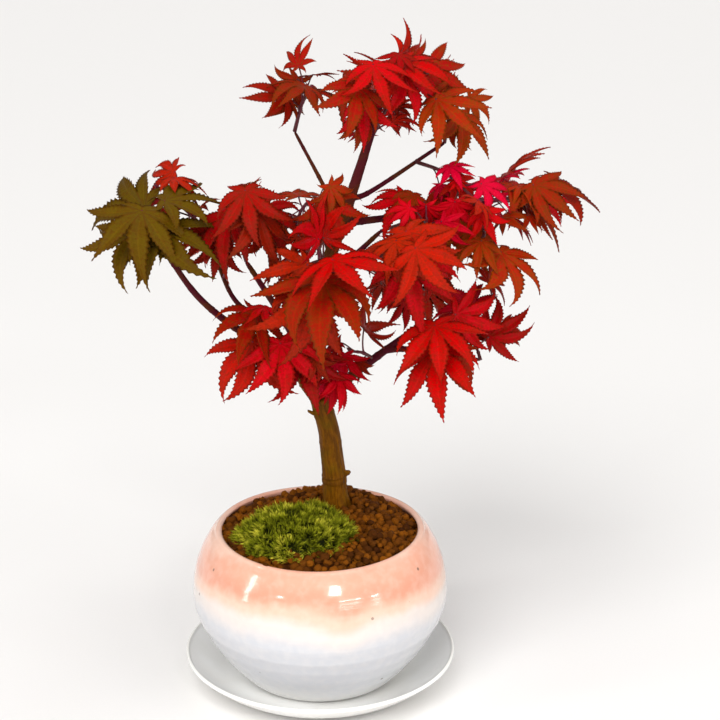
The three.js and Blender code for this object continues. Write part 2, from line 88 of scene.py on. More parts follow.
# One stem for each mass, from a place along a limb to its head, with pairs of leaves along it.
# girth: how far a leaf's middle may be from the stem. leaf: length of the middle lobe.
# face: azimuth and elevation that the blades look towards. turn: angle of the first pair.
Mass = namedtuple("Mass", "on at head girth pairs leaf face turn droop tint seed")
MASSES = {
    "left_outer": Mass("left_bough", 1, (-74, -14, 228), 40, 3, 34, (-100, 45), 0, 1.1, "olive", 170),
    "apex": Mass("leader", 1, (39, 12, 293), 30, 3, 26, (-90, 35), 150, 1.2, "red", 53),
    "apex_left": Mass("leader", 0.93, (20, -3, 293), 32, 3, 29, (-95, 25), 0, 1.2, "red", 34),
    "apex_right": Mass("leader", 0.95, (46, 7, 291), 32, 3, 27, (-85, 40), 0, 0.4, "rust", 75),
    "top_left": Mass("top_left_twig", 1, (-4, 19, 282), 32, 4, 24, (-100, 50), 40, 0.8, "rust", 128),
    "top_right": Mass("high_twig", 1, (61, 17, 277), 30, 3, 26, (-85, 45), 70, 1, "orange", 207),
    "top_right_low": Mass("high_twig", 0.8, (70, -7, 238), 22, 3, 16, (-90, 20), 60, 0.9, "crimson", 197),
    "left_top": Mass("left_twig", 1, (-70, 5, 241), 34, 4, 23, (-100, 55), 60, 0.8, "red", 138),
    "left_middle": Mass("left_twig", 0.7, (-31, -13, 240), 34, 4, 28, (-90, 35), 70, 1.2, "dark", 150),
    "centre": Mass("front_bough", 1, (2, -19, 215), 36, 4, 38, (-90, 25), 70, 0.4, "red", 143),
    "centre_top": Mass("front_bough", 0.8, (-3, -5, 235), 32, 3, 30, (-90, 40), 150, 1.2, "orange", 135),
    "lower_left": Mass("left_bough", 0.35, (-21, -12, 183), 38, 4, 32, (-90, 20), 150, 1.2, "red", 53),
    "lower_front": Mass("left_bough", 0.18, (-11, -20, 174), 32, 3, 30, (-90, 25), 60, 0.9, "dark", 197),
    "lower_centre": Mass("right_bough", 0.4, (4, -15, 161), 26, 3, 16, (-90, 20), 100, 1.1,
        "crimson", 166),
    "middle_right": Mass("middle_bough", 0.6, (37, -25, 220), 36, 4, 34, (-90, 20), 40, 1.1, "red", 71),
    "middle_far": Mass("middle_bough", 1, (48, -11, 229), 32, 3, 27, (-85, 30), 90, 1.2, "crimson", 36),
    "middle_low": Mass("right_bough", 0.6, (15, -5, 167), 30, 3, 22, (-90, 25), 90, 1.1, "dark", 183),
    "right_top": Mass("upper_bough", 1, (95, 15, 231), 36, 4, 27, (-80, 60), 70, 1.1, "rust", 51),
    "right_hang": Mass("upper_bough", 0.9, (74, -4, 223), 34, 3, 27, (-85, 20), 150, 0.3, "orange", 161),
    "right_top_near": Mass("upper_bough", 0.45, (47, 7, 232), 34, 3, 27, (-90, 55), 20, 1.1, "red", 167),
    "right_low": Mass("right_bough", 1, (53, -15, 181), 36, 3, 35, (-90, 20), 140, 0.6, "red", 73),
    "right_low_far": Mass("right_arm", 1, (71, -7, 170), 32, 3, 27, (-85, 25), 90, 0.4, "crimson", 76),
    "right_outer": Mass("right_arm", 0.8, (79, 5, 188), 30, 3, 22, (-80, 30), 10, 0.9, "crimson", 115),
    "back_left": Mass("back_left_bough", 1, (-38, 60, 200), 38, 4, 30, (120, 40), 120, 0.3, "red", 177),
    "back_left_low": Mass("back_left_bough", 0.6, (-8, 48, 185), 34, 3, 28, (90, 40), 50, 0.8,
        "dark", 126),
    "back_right": Mass("back_right_bough", 1, (50, 68, 205), 38, 4, 30, (60, 40), 0, 0.6, "red", 150),
    "back_right_low": Mass("back_right_bough", 0.6, (40, 44, 187), 34, 3, 28, (60, 30), 140, 0.6,
        "dark", 73),
    "back_far_right": Mass("upper_bough", 0.8, (88, 51, 221), 32, 3, 27, (60, 50), 10, 0.7,
        "crimson", 124),
    "back_far_left": Mass("left_twig", 0.8, (-56, 29, 220), 32, 3, 27, (130, 50), 30, 0.6, "rust", 115),
    "back_high": Mass("back_high_bough", 1, (-10, 62, 209), 34, 3, 28, (95, 40), 100, 0.3, "rust", 120),
    "back_top": Mass("leader", 0.88, (35, 28, 277), 32, 3, 26, (80, 45), 10, 0.6, "red", 132),
}

# How a mass grows, as in the part.
FIRST_PAIR = 0.45  # the lowest pair's place on its stem
SPREAD = 55  # degrees between a stem and its leaf stalks
CLOSER = 18  # how many fewer for the last pair
TRIES = 16  # places tried for each leaf
SHRINK = 0.025  # how much smaller each further try is
CLEAR = 0.6  # room to the limbs and the other masses
OWN_CLEAR = 0.2  # room to the leaves of the same mass
TOWARDS_FACE = 0.25  # how much a stalk leans to where the mass looks
ON_EDGE = 0.93  # past this a blade would be seen on edge, and isn't grown
STRAY = {  # lowest and highest draw of what differs from leaf to leaf
    "turn": (-30, 30), "spread": (-16, 16), "size": (0.82, 1.12), "stalk": (0.35, 0.65),
    "sway": (-0.2, 0.2), "droop": (0.7, 1.3), "look": (-0.25, 0.25), "curl": (0.06, 0.26),
}
STEM = (0.95, 0.6)  # a stem's radius at its foot and at its head
STALK = 0.5  # a leaf stalk's radius
BLADE = 1.3  # a blade's thickness
PART_LOBES = ((0, 1.0), (36, 0.93), (74, 0.74), (120, 0.38))  # angle and length, on one side
PART_NOTCHES = (0.36, 0.33, 0.22)
PART_BACK = 0.07

# Young leaves between the pairs, and the finer shape of every leaf, which the part leaves out.
SHAPE_SEED = 628  # added to a mass's seed for the finer shape of its leaves
YOUNG_SEED = 5000  # added to it for the young leaves
YOUNG_TRIES = 10
YOUNG_SIZE = (0.46, 0.68)  # of a grown leaf
YOUNG_CLEAR = 0.15
YOUNG_FROM, YOUNG_SPAN = 0.3, 0.62  # where on the stem they begin, and over how much of it

# ---- the finer leaf: lobes on one side of the rib as angle and length, and the notches between
LOBES = ((0, 1.08), (36, 0.98), (74, 0.76), (120, 0.38))
NOTCHES = (0.28, 0.25, 0.17)
BACK_NOTCH = 0.07
BACK_ANGLE = 180
INNER_ROWS = 3  # rows of faces from the base to the notches
ACROSS = 4  # faces across a lobe
TEETH = 11  # on each side of a lobe
SMALL_LOBE_TEETH = 6  # and of the two lobes beside the stalk
LOBE_WIDTH = 0.088  # half a lobe's width, of its length
TAPER = (0.9, 1.6, 0.195)  # powers of a lobe's rise and fall, and the height of their curve
TOOTH = (0.017, 0.006)  # a tooth's depth, of the lobe's length, and how much it differs
PLEAT, PUCKER = 0.38, 0.010  # how a lobe folds up beside its rib, and ripples between its veins
LEAF_THICKNESS = 0.011  # of the middle lobe's length
LOBE_STRAY = {  # lowest and highest draw of what differs from lobe to lobe
    "swing": (-8, 8), "arch": (-0.04, 0.24), "twist": (-0.6, 0.6), "length": (-0.13, 0.1),
    "hook": (-24, 24),
}
ROLL_STRAY, PITCH_STRAY = (-30, 30), (-14, 14)  # how far a blade tips about its rib and along it
LEAF_SHADE = (0.78, 1.0)  # darkest and lightest leaf of a tint
FLATTER = math.radians(24)  # how much flatter the outermost leaves lie
FLATTER_FROM, FLATTER_SPAN = 62, 20  # how far out that begins, and over how many millimetres
OUTER_GAIN = (0.92, 0.16, 95)  # size of an inner leaf, and how much larger one this far out is

# ---- pot, saucer, soil and moss, as in the part
SAUCER = {"rim": 64, "foot": 38, "height": 16.5, "wall": 3.4, "floor": 4.3}
POT = {"base": 4.6, "foot": 36, "belly": 60, "belly_at": 45, "rim_at": 78.2, "rim": 48.6, "wall": 4.2,
       "floor": 5.5, "drain": 6}
LOWER_WALL, UPPER_WALL = (60.7, 1.5), (51.9, 2.2)  # height and roundness of the wall's two curves
SOIL = {"top": 79.7, "flat": 26, "edge": 72.6}
HEAP = {"centre": (8, 19), "reach": 21, "height": 6.2}  # loose grains drawn up round the trunk
MOSS = {"centre": (-10, -14), "spread": (27, 22), "height": 12.5, "sunk": 5}


def linear(code):
    """A colour written as sRGB hex, as the linear values that Blender works in."""
    values = [int(code[i : i + 2], 16) / 255 for i in (1, 3, 5)]
    return tuple(v / 12.92 if v <= 0.04045 else ((v + 0.055) / 1.055) ** 2.4 for v in values)


SMOOTH = {"interpolation_type": "SMOOTHSTEP"}  # a Map Range without kinks
COLOURS = {"data_type": "RGBA"}  # a Mix of colours: input 0 is its share of 7 over 6

TINTS = {  # heart, then tips
    "red": ("#bc0008", "#861a04"),
    "dark": ("#9a0008", "#701c04"),
    "crimson": ("#c8002a", "#aa0418"),
    "rust": ("#9a0e04", "#743204"),
    "orange": ("#9e2004", "#7a3c04"),
    "olive": ("#5e4604", "#5a3404"),
}
NEIGHBOURS = {  # tints that a spray also holds
    "red": ("dark", "rust"),
    "dark": ("red", "rust"),
    "crimson": ("red", "dark"),
    "rust": ("orange", "dark"),
    "orange": ("rust", "red"),
    "olive": ("olive", "rust"),
}
OWN_TINT = 0.72  # share of a spray's leaves in its own tint


# ---- vectors
def unit(v):
    return v / np.sqrt(v @ v)


def square(a, b):
    """The part of a at right angles to b."""
    return unit(a - b * (a @ b))


def steady(way):
    """A direction never close to the way given."""
    return np.array([0.0, 0.0, 1.0] if abs(way[2]) < 0.9 else [1.0, 0.0, 0.0])


def beside(way):
    """Two directions at right angles to a way and to each other."""
    flat = square(steady(way), way)
    return flat, np.cross(way, flat)


def direction(azimuth, elevation):
    """The unit vector at an azimuth and elevation in degrees."""
    a, e = math.radians(azimuth), math.radians(elevation)
    return np.array([math.cos(a) * math.cos(e), math.sin(a) * math.cos(e), math.sin(e)])


def along(path, t):
    """A point of the path, t from 0 to 1 along its spans."""
    span = min(len(path) - 2, int(t * (len(path) - 1)))
    part = t * (len(path) - 1) - span
    return path[span] * (1 - part) + path[span + 1] * part


def clamped(value):
    return min(1, max(0, value))


def smooth_line(path, steps):
    """Points along a Catmull-Rom line through the path, steps to each span."""
    points = np.array(path, float)
    points = np.vstack([2 * points[0] - points[1], points, 2 * points[-1] - points[-2]])
    line = []
    for a, b, c, d in zip(points, points[1:], points[2:], points[3:]):
        for t in np.arange(steps) / steps:
            line.append(0.5 * (2 * b + (c - a) * t + (2 * a - 5 * b + 4 * c - d) * t * t
                               + (3 * b - a - 3 * c + d) * t ** 3))
    return np.array(line + [points[-2]])


class Seed:
    """The same numbers from the same seed, as in the part."""

    def __init__(self, start):
        self.state = start * 7919

    def draw(self, low, high):
        self.state = (self.state * 1664525 + 1013904223) % 4294967296
        return low + (high - low) * self.state / 4294967296

    def draws(self, count, low, high):
        return np.array([self.draw(low, high) for _ in range(count)])


# ---- growth: the part's rule, carried on to young leaves
class Room:
    """What stands where: points with a thickness, and directions that may part it from others."""

    def __init__(self, points, thick, ways):
        self.points, self.thick, self.ways = points, thick, np.array(ways)
        self.middle = (points.min(0) + points.max(0)) / 2
        self.reach = np.sqrt(((points - self.middle) ** 2).sum(1)).max()


def rod_room(a, b, thick):
    """The room of a straight rod."""
    return Room(np.array([a, b]), thick, beside(unit(b - a)))


def part_outline():
    """The part's leaf as points: ahead, aside, and how far each drops for its curl."""
    half = []
    for i, (angle, reach) in enumerate(PART_LOBES):
        half.append((angle, reach))
        if i < len(PART_NOTCHES):
            half.append(((angle + PART_LOBES[i + 1][0]) / 2, PART_NOTCHES[i]))
    rim = [(-a, r) for a, r in reversed(half) if a > 0] + half + [(BACK_ANGLE, PART_BACK)]
    return np.array([(math.cos(math.radians(a)) * r, math.sin(math.radians(a)) * r, r * r)
                     for a, r in rim])


PART_OUTLINE = part_outline()


class Leaf:
    """Where a leaf sits: its stalk's foot, its blade's base, rib, normal, size and curl."""

    def __init__(self, node, way, base, rib, normal, size, curl):
        self.node, self.way, self.base, self.rib, self.normal = node, way, base, rib, normal
        self.size, self.curl, self.side = size, curl, np.cross(normal, rib)
        ahead, aside, drop = PART_OUTLINE[:, 0:1], PART_OUTLINE[:, 1:2], PART_OUTLINE[:, 2:3]
        rim = base + size * (ahead * rib + aside * self.side - curl * drop * normal)
        points = np.vstack([rim, base + normal * BLADE / 2, base - normal * BLADE / 2])
        ways = [unit(normal + rib * tilt) for tilt in (0, -1.2 * curl, 0.3)] + [rib, self.side]
        self.rooms = [Room(points, 0, ways), rod_room(node, base, STALK * 1.3)]


def apart(a, b, space):
    """True when some plane parts the two by more than the space given."""
    between = b.middle - a.middle
    distance = math.sqrt(between @ between)
    needed = a.thick + b.thick + space
    if distance > a.reach + b.reach + needed:
        return True
    ways = np.vstack([a.ways, b.ways, [between / distance]]).T
    pa, pb = a.points @ ways, b.points @ ways
    return bool(((pa.min(0) - pb.max(0) > needed) | (pb.min(0) - pa.max(0) > needed)).any())


def stem_path(mass):
    """A stem's foot on its limb, its middle, a little raised, and its head."""
    seat, head = along(np.array(LIMBS[mass.on].path, float), mass.at), np.array(mass.head, float)
    rise = np.array([0, 0, 0.08 * math.dist(seat, head)])
    return np.array([seat, (seat + head) / 2 + rise, head])


def pair_place(pair, pairs):
    """How far along its stem a pair of leaves stands."""
    return FIRST_PAIR + (1 - FIRST_PAIR) * pair / (pairs - 1)


def place_on(path, t):
    """A place along a stem, and the way the stem runs there."""
    half = 1 if t > 0.5 else 0
    return along(path, t), unit(path[half + 1] - path[half])


def from_stem(point, path):
    """How far a point is from the outer part of a stem."""
    a, b = path[0] * 0.65 + path[2] * 0.35, path[2]
    t = clamped((point - a) @ (b - a) / ((b - a) @ (b - a)))
    return math.dist(point, a * (1 - t) + b * t)


def possible_leaf(mass, seed, node, way, pair, side, attempt, young=False):
    """The leaf that the next draws give, or None where it would be seen on edge."""
    face = direction(*mass.face)
    flat, wide = beside(way)
    turn = math.radians(mass.turn + 90 * pair + seed.draw(*STRAY["turn"]))
    closer = CLOSER if pair == mass.pairs - 1 else 0
    spread = math.radians(SPREAD - closer + seed.draw(*STRAY["spread"]))
    aside = (wide * math.cos(turn) + flat * math.sin(turn)) * side
    out = unit(way * math.cos(spread) + aside * math.sin(spread) + face * TOWARDS_FACE)
    size = mass.leaf * seed.draw(*STRAY["size"]) * (1 - SHRINK * attempt)
    base = node + out * size * seed.draw(*STRAY["stalk"])
    if young:
        size *= seed.draw(*YOUNG_SIZE)
    sway = seed.draws(2, *STRAY["sway"])
    rib = unit(out + np.array([*sway, -mass.droop * seed.draw(*STRAY["droop"])]))
    look = unit(face + seed.draws(3, *STRAY["look"]))
    curl = seed.draw(*STRAY["curl"])
    if abs(look @ rib) > ON_EDGE:
        return None
    return Leaf(node, way, base, rib, square(look, rib), size, curl)


def fits(leaf, mass, path, others, own, clear=CLEAR, own_clear=OWN_CLEAR):
    """True when a leaf stays near its stem and clear of everything that stands already."""
    if from_stem(leaf.base + leaf.rib * 0.4 * leaf.size, path) > mass.girth:
        return False
    if not all(apart(mine, other, clear) for mine in leaf.rooms for other in others):
        return False
    return all(apart(leaf.rooms[0], other.rooms[0], own_clear) for other in own)


def grow_mass(mass, others):
    """Pairs of leaves along a stem, each at the first place tried where it fits."""
    seed, path, leaves = Seed(mass.seed), stem_path(mass), []
    for pair in range(mass.pairs):
        node, way = place_on(path, pair_place(pair, mass.pairs))
        for side in (1, -1):
            for attempt in range(TRIES):
                leaf = possible_leaf(mass, seed, node, way, pair, side, attempt)
                if leaf and fits(leaf, mass, path, others, leaves):
                    leaves.append(leaf)
                    break
    return leaves


def grow_young(mass, leaves, others, count):
    """Smaller leaves on side twigs between the pairs, where there is room left."""
    seed, path, young = Seed(mass.seed + YOUNG_SEED), stem_path(mass), []
    for pair in range(count):
        node, way = place_on(path, YOUNG_FROM + YOUNG_SPAN * pair / max(1, count - 1))
        side = 1 if pair % 2 else -1
        for attempt in range(YOUNG_TRIES):
            leaf = possible_leaf(mass, seed, node, way, pair, side, attempt, young=True)
            if leaf and fits(leaf, mass, path, others, leaves + young, YOUNG_CLEAR, YOUNG_CLEAR):
                young.append(leaf)
                break
    return young


def limb_rooms(limb):
    spans = len(limb.path) - 1
    points = np.array(limb.path, float)
    return [rod_room(points[i], points[i + 1], limb.foot + (limb.tip - limb.foot) * i / spans)
            for i in range(spans)]


def stem_rooms(mass):
    path = stem_path(mass)
    return [rod_room(a, b, STEM[0]) for a, b in zip(path, path[1:])]


def leaf_rooms(leaves):
    return [room for leaf in leaves for room in leaf.rooms]


def grow_crown(young_count):
    """Every mass in turn, clear of the limbs, of all stems and of the leaves grown before it."""
    limbs = [room for limb in LIMBS.values() for room in limb_rooms(limb)]
    stems = {name: stem_rooms(mass) for name, mass in MASSES.items()}
    near = {name: limbs + [room for other, rooms in stems.items() if other != name for room in rooms]
            for name in MASSES}
    crown, young, grown = {}, {}, []
    for name, mass in MASSES.items():
        crown[name] = grow_mass(mass, near[name] + grown)
        grown += leaf_rooms(crown[name])
    for name, mass in MASSES.items():
        own = {id(room) for room in leaf_rooms(crown[name])}
        others = near[name] + [room for room in grown if id(room) not in own]
        young[name] = grow_young(mass, crown[name], others, young_count)
        grown += leaf_rooms(young[name])
    return crown, young


# ---- meshes
def add_object(name, mesh, *materials):
    piece = bpy.data.objects.new(name, mesh)
    bpy.context.scene.collection.objects.link(piece)
    for material in materials:
        mesh.materials.append(material)
    return piece


def finish_piece(piece, slot, *nodes):
    """The piece rides on the body and stands in for the part's nodes that it covers. Its slot is not
    used.
    """
    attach(piece, BODY)
    if nodes:
        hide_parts(*nodes)


def mesh_from(name, bm):
    mesh = bpy.data.meshes.new(name)
    bm.to_mesh(mesh)
    bm.free()
    mesh.shade_smooth()
    return mesh


def shape_of(bm):
    """The places of a shape's vertices, and its faces as vertex numbers."""
    bm.verts.index_update()
    places = np.array([v.co[:] for v in bm.verts])
    faces = [[v.index for v in face.verts] for face in bm.faces]
    bm.free()
    return places, faces


def evaluated_mesh(piece):
    """A new mesh of the object as its modifiers leave it."""
    bpy.context.view_layer.update()
    evaluated = piece.evaluated_get(bpy.context.evaluated_depsgraph_get())
    return bpy.data.meshes.new_from_object(evaluated)


def joined_mesh(name, faces, copies, marks):
    """One mesh of many copies of a shape. faces: the shape's polygons as vertex numbers.
    copies: (count, vertices, 3) places in metres. marks: point attributes, name to values."""
    count, size = copies.shape[:2]
    mesh = bpy.data.meshes.new(name)
    corners = np.concatenate([np.array(face) for face in faces])
    sides = np.array([len(face) for face in faces])
    offsets = (np.arange(count) * size)[:, None]
    mesh.vertices.add(count * size)
    mesh.vertices.foreach_set("co", copies.astype(np.float32).ravel())
    mesh.loops.add(count * len(corners))
    mesh.loops.foreach_set("vertex_index", (corners[None, :] + offsets).ravel().astype(np.int32))
    starts = np.concatenate([[0], np.cumsum(sides)[:-1]])
    mesh.polygons.add(count * len(sides))
    loop_offsets = (np.arange(count) * len(corners))[:, None]
    mesh.polygons.foreach_set("loop_start", (starts[None, :] + loop_offsets).ravel().astype(np.int32))
    mesh.update(calc_edges=True)
    for mark, values in marks.items():
        kind, key = ("FLOAT_VECTOR", "vector") if values.ndim == 3 else ("FLOAT", "value")
        attribute = mesh.attributes.new(mark, kind, "POINT")
        attribute.data.foreach_set(key, values.astype(np.float32).ravel())
    mesh.validate()
    mesh.shade_smooth()
    return mesh


def tubes_mesh(name, tubes, roundness):
    """Closed tubes along lines: (points, radii) in millimetres."""
    curve = bpy.data.curves.new(name, "CURVE")
    curve.dimensions = "3D"
    curve.bevel_depth = MM
    curve.bevel_resolution = roundness
    curve.use_fill_caps = True
    for points, radii in tubes:
        spline = curve.splines.new("POLY")
        spline.points.add(len(points) - 1)
        flat = np.column_stack([np.array(points) * MM, np.ones(len(points))])
        spline.points.foreach_set("co", flat.astype(np.float32).ravel())
        spline.points.foreach_set("radius", np.array(radii, np.float32))
    holder = add_object(name, curve)
    mesh = evaluated_mesh(holder)
    bpy.data.objects.remove(holder)
    bpy.data.curves.remove(curve)
    merged = bmesh.new()
    merged.from_mesh(mesh)
    bmesh.ops.remove_doubles(merged, verts=merged.verts, dist=1e-7)
    bmesh.ops.recalc_face_normals(merged, faces=merged.faces)
    merged.to_mesh(mesh)
    merged.free()
    mesh.name = name
    mesh.shade_smooth()
    return mesh


# ---- materials
def repeat(width):
    """The scale of a pattern whose marks are as wide as this, in millimetres."""
    return 1 / (width * MM)


def add_node(tree, kind, inputs=None, stops=(), **settings):
    """A node with its settings, a ramp's stops, and its inputs: values, sockets, or nodes whose
    first output is meant. Vectors of three that a colour socket takes are made opaque."""
    node = tree.nodes.new("ShaderNode" + kind)
    for name, value in settings.items():
        setattr(node, name, value)
    for i, (place, colour) in enumerate(stops):
        element = node.color_ramp.elements[i] if i < 2 else node.color_ramp.elements.new(place)
        element.position = place
        element.color = (*colour, 1)
    for name, value in (inputs or {}).items():
        socket = node.inputs[name]
        if isinstance(value, bpy.types.Node):
            value = next(output for output in value.outputs if output.enabled)
        if isinstance(value, bpy.types.NodeSocket):
            tree.links.new(value, socket)
        else:
            socket.default_value = (*value, 1) if socket.type == "RGBA" else value
    return node


def new_material(name):
    """A material, and the function that adds a node to it."""
    material = bpy.data.materials.new(name)
    material.use_nodes = True
    material.node_tree.nodes.clear()
    return material, partial(add_node, material.node_tree)


def leaf_skin(add, heart, tip, across, reach, place):
    """Turned colour: from the tips inwards, in patches, then in spots and along the edge."""
    patches = add("TexNoise", {"Vector": place, "Scale": repeat(6.25), "Detail": 3})
    spots = add("TexNoise", {"Vector": place, "Scale": repeat(1.25), "Detail": 4})
    far = add("MapRange", {"Value": reach, "From Min": 0.4, "From Max": 1.05, "To Max": 0.4}, **SMOOTH)
    patch = add("MapRange", {"Value": patches, "From Min": 0.45, "From Max": 0.7,
                             "To Max": 0.35}, **SMOOTH)
    worn = add("Math", {0: far, 1: patch}, operation="ADD")
    spot = add("MapRange", {"Value": spots, "From Min": 0.5, "From Max": 0.64, "To Max": 0.6}, **SMOOTH)
    edge = add("MapRange", {"Value": across, "From Min": 0.66, "To Max": 0.8}, **SMOOTH)
    rusty = add("Math", {0: spot, 1: edge}, operation="MAXIMUM")
    skin = add("Mix", {0: worn, 6: heart, 7: tip}, **COLOURS)
    skin = add("Mix", {0: rusty, 6: skin, 7: tip}, **COLOURS)
    tone = add("Attribute", attribute_name="tone").outputs["Fac"]
    shade = add("MapRange", {"Value": tone, "To Min": LEAF_SHADE[0], "To Max": LEAF_SHADE[1]}, **SMOOTH)
    hue = add("MapRange", {"Value": tone, "To Min": 0.506, "To Max": 0.499}, **SMOOTH)
    return add("HueSaturation", {"Color": skin, "Value": shade, "Hue": hue})


def leaf_lines(add, across, rank):
    """Each lobe's rib, and side veins one to each rank of teeth."""
    rib = add("MapRange", {"Value": across, "From Min": 0.16, "From Max": 0.03}, **SMOOTH)
    step = add("Math", {0: rank}, operation="FRACT")
    step = add("Math", {0: step, 1: 0.5}, operation="SUBTRACT")
    step = add("Math", {0: step}, operation="ABSOLUTE")
    vein = add("MapRange", {"Value": step, "From Min": 0.16, "From Max": 0.02, "To Max": 0.55}, **SMOOTH)
    fade = add("MapRange", {"Value": across, "From Min": 1.0, "From Max": 0.5}, **SMOOTH)
    vein = add("Math", {0: vein, 1: fade}, operation="MULTIPLY")
    return add("Math", {0: rib, 1: vein}, operation="MAXIMUM")


def leaf_material(name, heart, tip):
    """Thin autumn leaf: satin skin, lighter ribs, side veins that run out to the teeth, rusty edges."""
    material, add = new_material(name)
    blade = add("Attribute", attribute_name="blade").outputs["Vector"]
    across, reach, rank = add("SeparateXYZ", {0: blade}).outputs
    place = add("TexCoord").outputs["Object"]
    skin = leaf_skin(add, heart, tip, across, reach, place)
    lines = leaf_lines(add, across, rank)
    light = add("HueSaturation", {"Color": skin, "Value": 1.28})
    drawn = add("Math", {0: lines, 1: 0.6}, operation="MULTIPLY")
    colour = add("Mix", {0: drawn, 6: skin, 7: light}, **COLOURS)
    # a leaf's pores are finer than this, and are drawn as coarse as they need to show
    grain = add("TexNoise", {"Vector": place, "Scale": repeat(0.53), "Detail": 2})
    pores = add("Math", {0: grain, 1: 0.35}, operation="MULTIPLY")
    height = add("Math", {0: pores, 1: lines}, operation="SUBTRACT")
    bump = add("Bump", {"Height": height, "Strength": 0.5, "Distance": 0.12 * MM})
    rough = add("MapRange", {"Value": grain, "From Min": 0.3, "From Max": 0.7, "To Min": 0.36,
                             "To Max": 0.5}, **SMOOTH)
    shader = add("BsdfPrincipled", {"Base Color": colour, "Roughness": rough, "Normal": bump,
                                    "Specular IOR Level": 0.08})
    add("OutputMaterial", {"Surface": shader})
    return material


def twig_material(young, old):
    """Young maple shoots: smooth waxy skin, plum red, with painted shade in browner patches laid at
    random.
    """
    material, add = new_material("young_shoot_bark")
    place = add("TexCoord").outputs["Object"]
    patches = add("TexNoise", {"Vector": place, "Scale": repeat(11), "Detail": 4})
    shaded = add("MapRange", {"Value": patches, "From Min": 0.35, "From Max": 0.65}, **SMOOTH)
    # young is the sunlit plum and old its painted shade, mixed in random patches
    colour = add("Mix", {0: shaded, 6: young, 7: old}, **COLOURS)
    grain = add("TexNoise", {"Vector": place, "Scale": repeat(0.67)})
    bump = add("Bump", {"Height": grain, "Strength": 0.3, "Distance": 0.1 * MM})
    shader = add("BsdfPrincipled", {"Base Color": colour, "Roughness": 0.42, "Normal": bump})
    add("OutputMaterial", {"Surface": shader})
    return material


def old_bark(add, wood, patches, streaks, pores):
    """Olive brown in lengthwise streaks, with a film of algae and pale pores."""
    streak = add("MapRange", {"Value": streaks, "From Min": 0.35, "From Max": 0.68}, **SMOOTH)
    mossy = add("MapRange", {"Value": patches, "From Min": 0.5, "From Max": 0.68,
                             "To Max": 0.5}, **SMOOTH)
    pore = add("MapRange", {"Value": pores, "From Min": 0.2, "From Max": 0.06, "To Max": 0.35}, **SMOOTH)
    old = add("Mix", {0: streak, 6: wood.bark_dark, 7: wood.bark_light}, **COLOURS)
    old = add("Mix", {0: mossy, 6: old, 7: wood.bark_moss}, **COLOURS)
    return add("Mix", {0: pore, 6: old, 7: linear("#94691c")}, **COLOURS)


def bark_material(wood):
    """Smooth maple bark: matt, finely streaked, plum on thin boughs and ringed by old leaf scars."""
    material, add = new_material("smooth_maple_bark")
    grain = add("Attribute", attribute_name="grain").outputs["Vector"]
    girth = add("Attribute", attribute_name="girth").outputs["Fac"]
    scar = add("Attribute", attribute_name="scar").outputs["Fac"]
    place = add("TexCoord").outputs["Object"]
    # the grain attribute is in millimetres, with the bough's length along Y
    stretched = add("Mapping", {"Vector": grain, "Scale": (1 / 1.25, 1 / 7.7, 1 / 1.25)})
    streaks = add("TexNoise", {"Vector": stretched, "Scale": 1.0, "Detail": 6, "Roughness": 0.62})
    patches = add("TexNoise", {"Vector": place, "Scale": repeat(11.8), "Detail": 5})
    pores = add("TexVoronoi", {"Vector": place, "Scale": repeat(1.6)})
    old = old_bark(add, wood, patches, streaks, pores)
    browned = add("MapRange", {"Value": patches, "From Min": 0.45, "From Max": 0.68,
                               "To Max": 0.7}, **SMOOTH)
    young = add("Mix", {0: browned, 6: wood.shoot, 7: wood.bark_dark}, **COLOURS)
    aged = add("MapRange", {"Value": girth, "From Min": 1.9, "From Max": 3.9}, **SMOOTH)
    colour = add("Mix", {0: aged, 6: young, 7: old}, **COLOURS)
    ring = add("MapRange", {"Value": scar, "From Min": 0.15, "From Max": 0.9, "To Max": 0.75}, **SMOOTH)
    colour = add("Mix", {0: ring, 6: colour, 7: linear("#3a1d0e")}, **COLOURS)
    height = add("Math", {0: pores, 1: 0.4, 2: streaks}, operation="MULTIPLY_ADD")
    bump = add("Bump", {"Height": height, "Strength": 0.6, "Distance": 0.4 * MM})
    rough = add("MapRange", {"Value": patches, "From Min": 0.3, "From Max": 0.7, "To Min": 0.5,
                             "To Max": 0.68}, **SMOOTH)
    shader = add("BsdfPrincipled", {"Base Color": colour, "Roughness": rough, "Normal": bump,
                                    "Specular IOR Level": 0.08})
    add("OutputMaterial", {"Surface": shader})
    return material


def glaze_bands(add, pot, place):
    """Salmon over cream over white, the borders run down in soft waves."""
    height = add("SeparateXYZ", {0: place}).outputs["Z"]
    waves = add("TexNoise", {"Vector": place, "Scale": repeat(59), "Detail": 2})
    drawn_down = add("Mapping", {"Vector": place, "Scale": (1, 1, 0.35)})
    runs = add("TexNoise", {"Vector": drawn_down, "Scale": repeat(21), "Detail": 4})
    level = add("Math", {0: height, 1: 1 / (80 * MM), 2: -0.16}, operation="MULTIPLY_ADD")
    level = add("Math", {0: waves, 1: 0.2, 2: level}, operation="MULTIPLY_ADD")
    level = add("Math", {0: runs, 1: 0.12, 2: level}, operation="MULTIPLY_ADD")
    bands = add("ValToRGB", {"Fac": level}, stops=(
        (0.06, linear("#cfcecb")), (1.0, pot.rim), (0.25, linear("#cfd0d5")), (0.54, pot.white),
        (0.66, pot.cream), (0.73, linear("#e8bfa8")), (0.81, pot.salmon), (0.92, linear("#e6a78d"))))
    bands.color_ramp.interpolation = "EASE"
    return bands


def pinholes(add, place):
    """A small dot in some of the cells."""
    cells = add("TexVoronoi", {"Vector": place, "Scale": repeat(10.5)})
    chance = add("SeparateXYZ", {0: cells.outputs["Color"]})
    chosen = add("MapRange", {"Value": chance, "From Min": 0.2, "From Max": 0.24}, **SMOOTH)
    dot = add("MapRange", {"Value": cells, "From Min": 0.085, "From Max": 0.05}, **SMOOTH)
    return add("Math", {0: dot, 1: chosen}, operation="MULTIPLY")


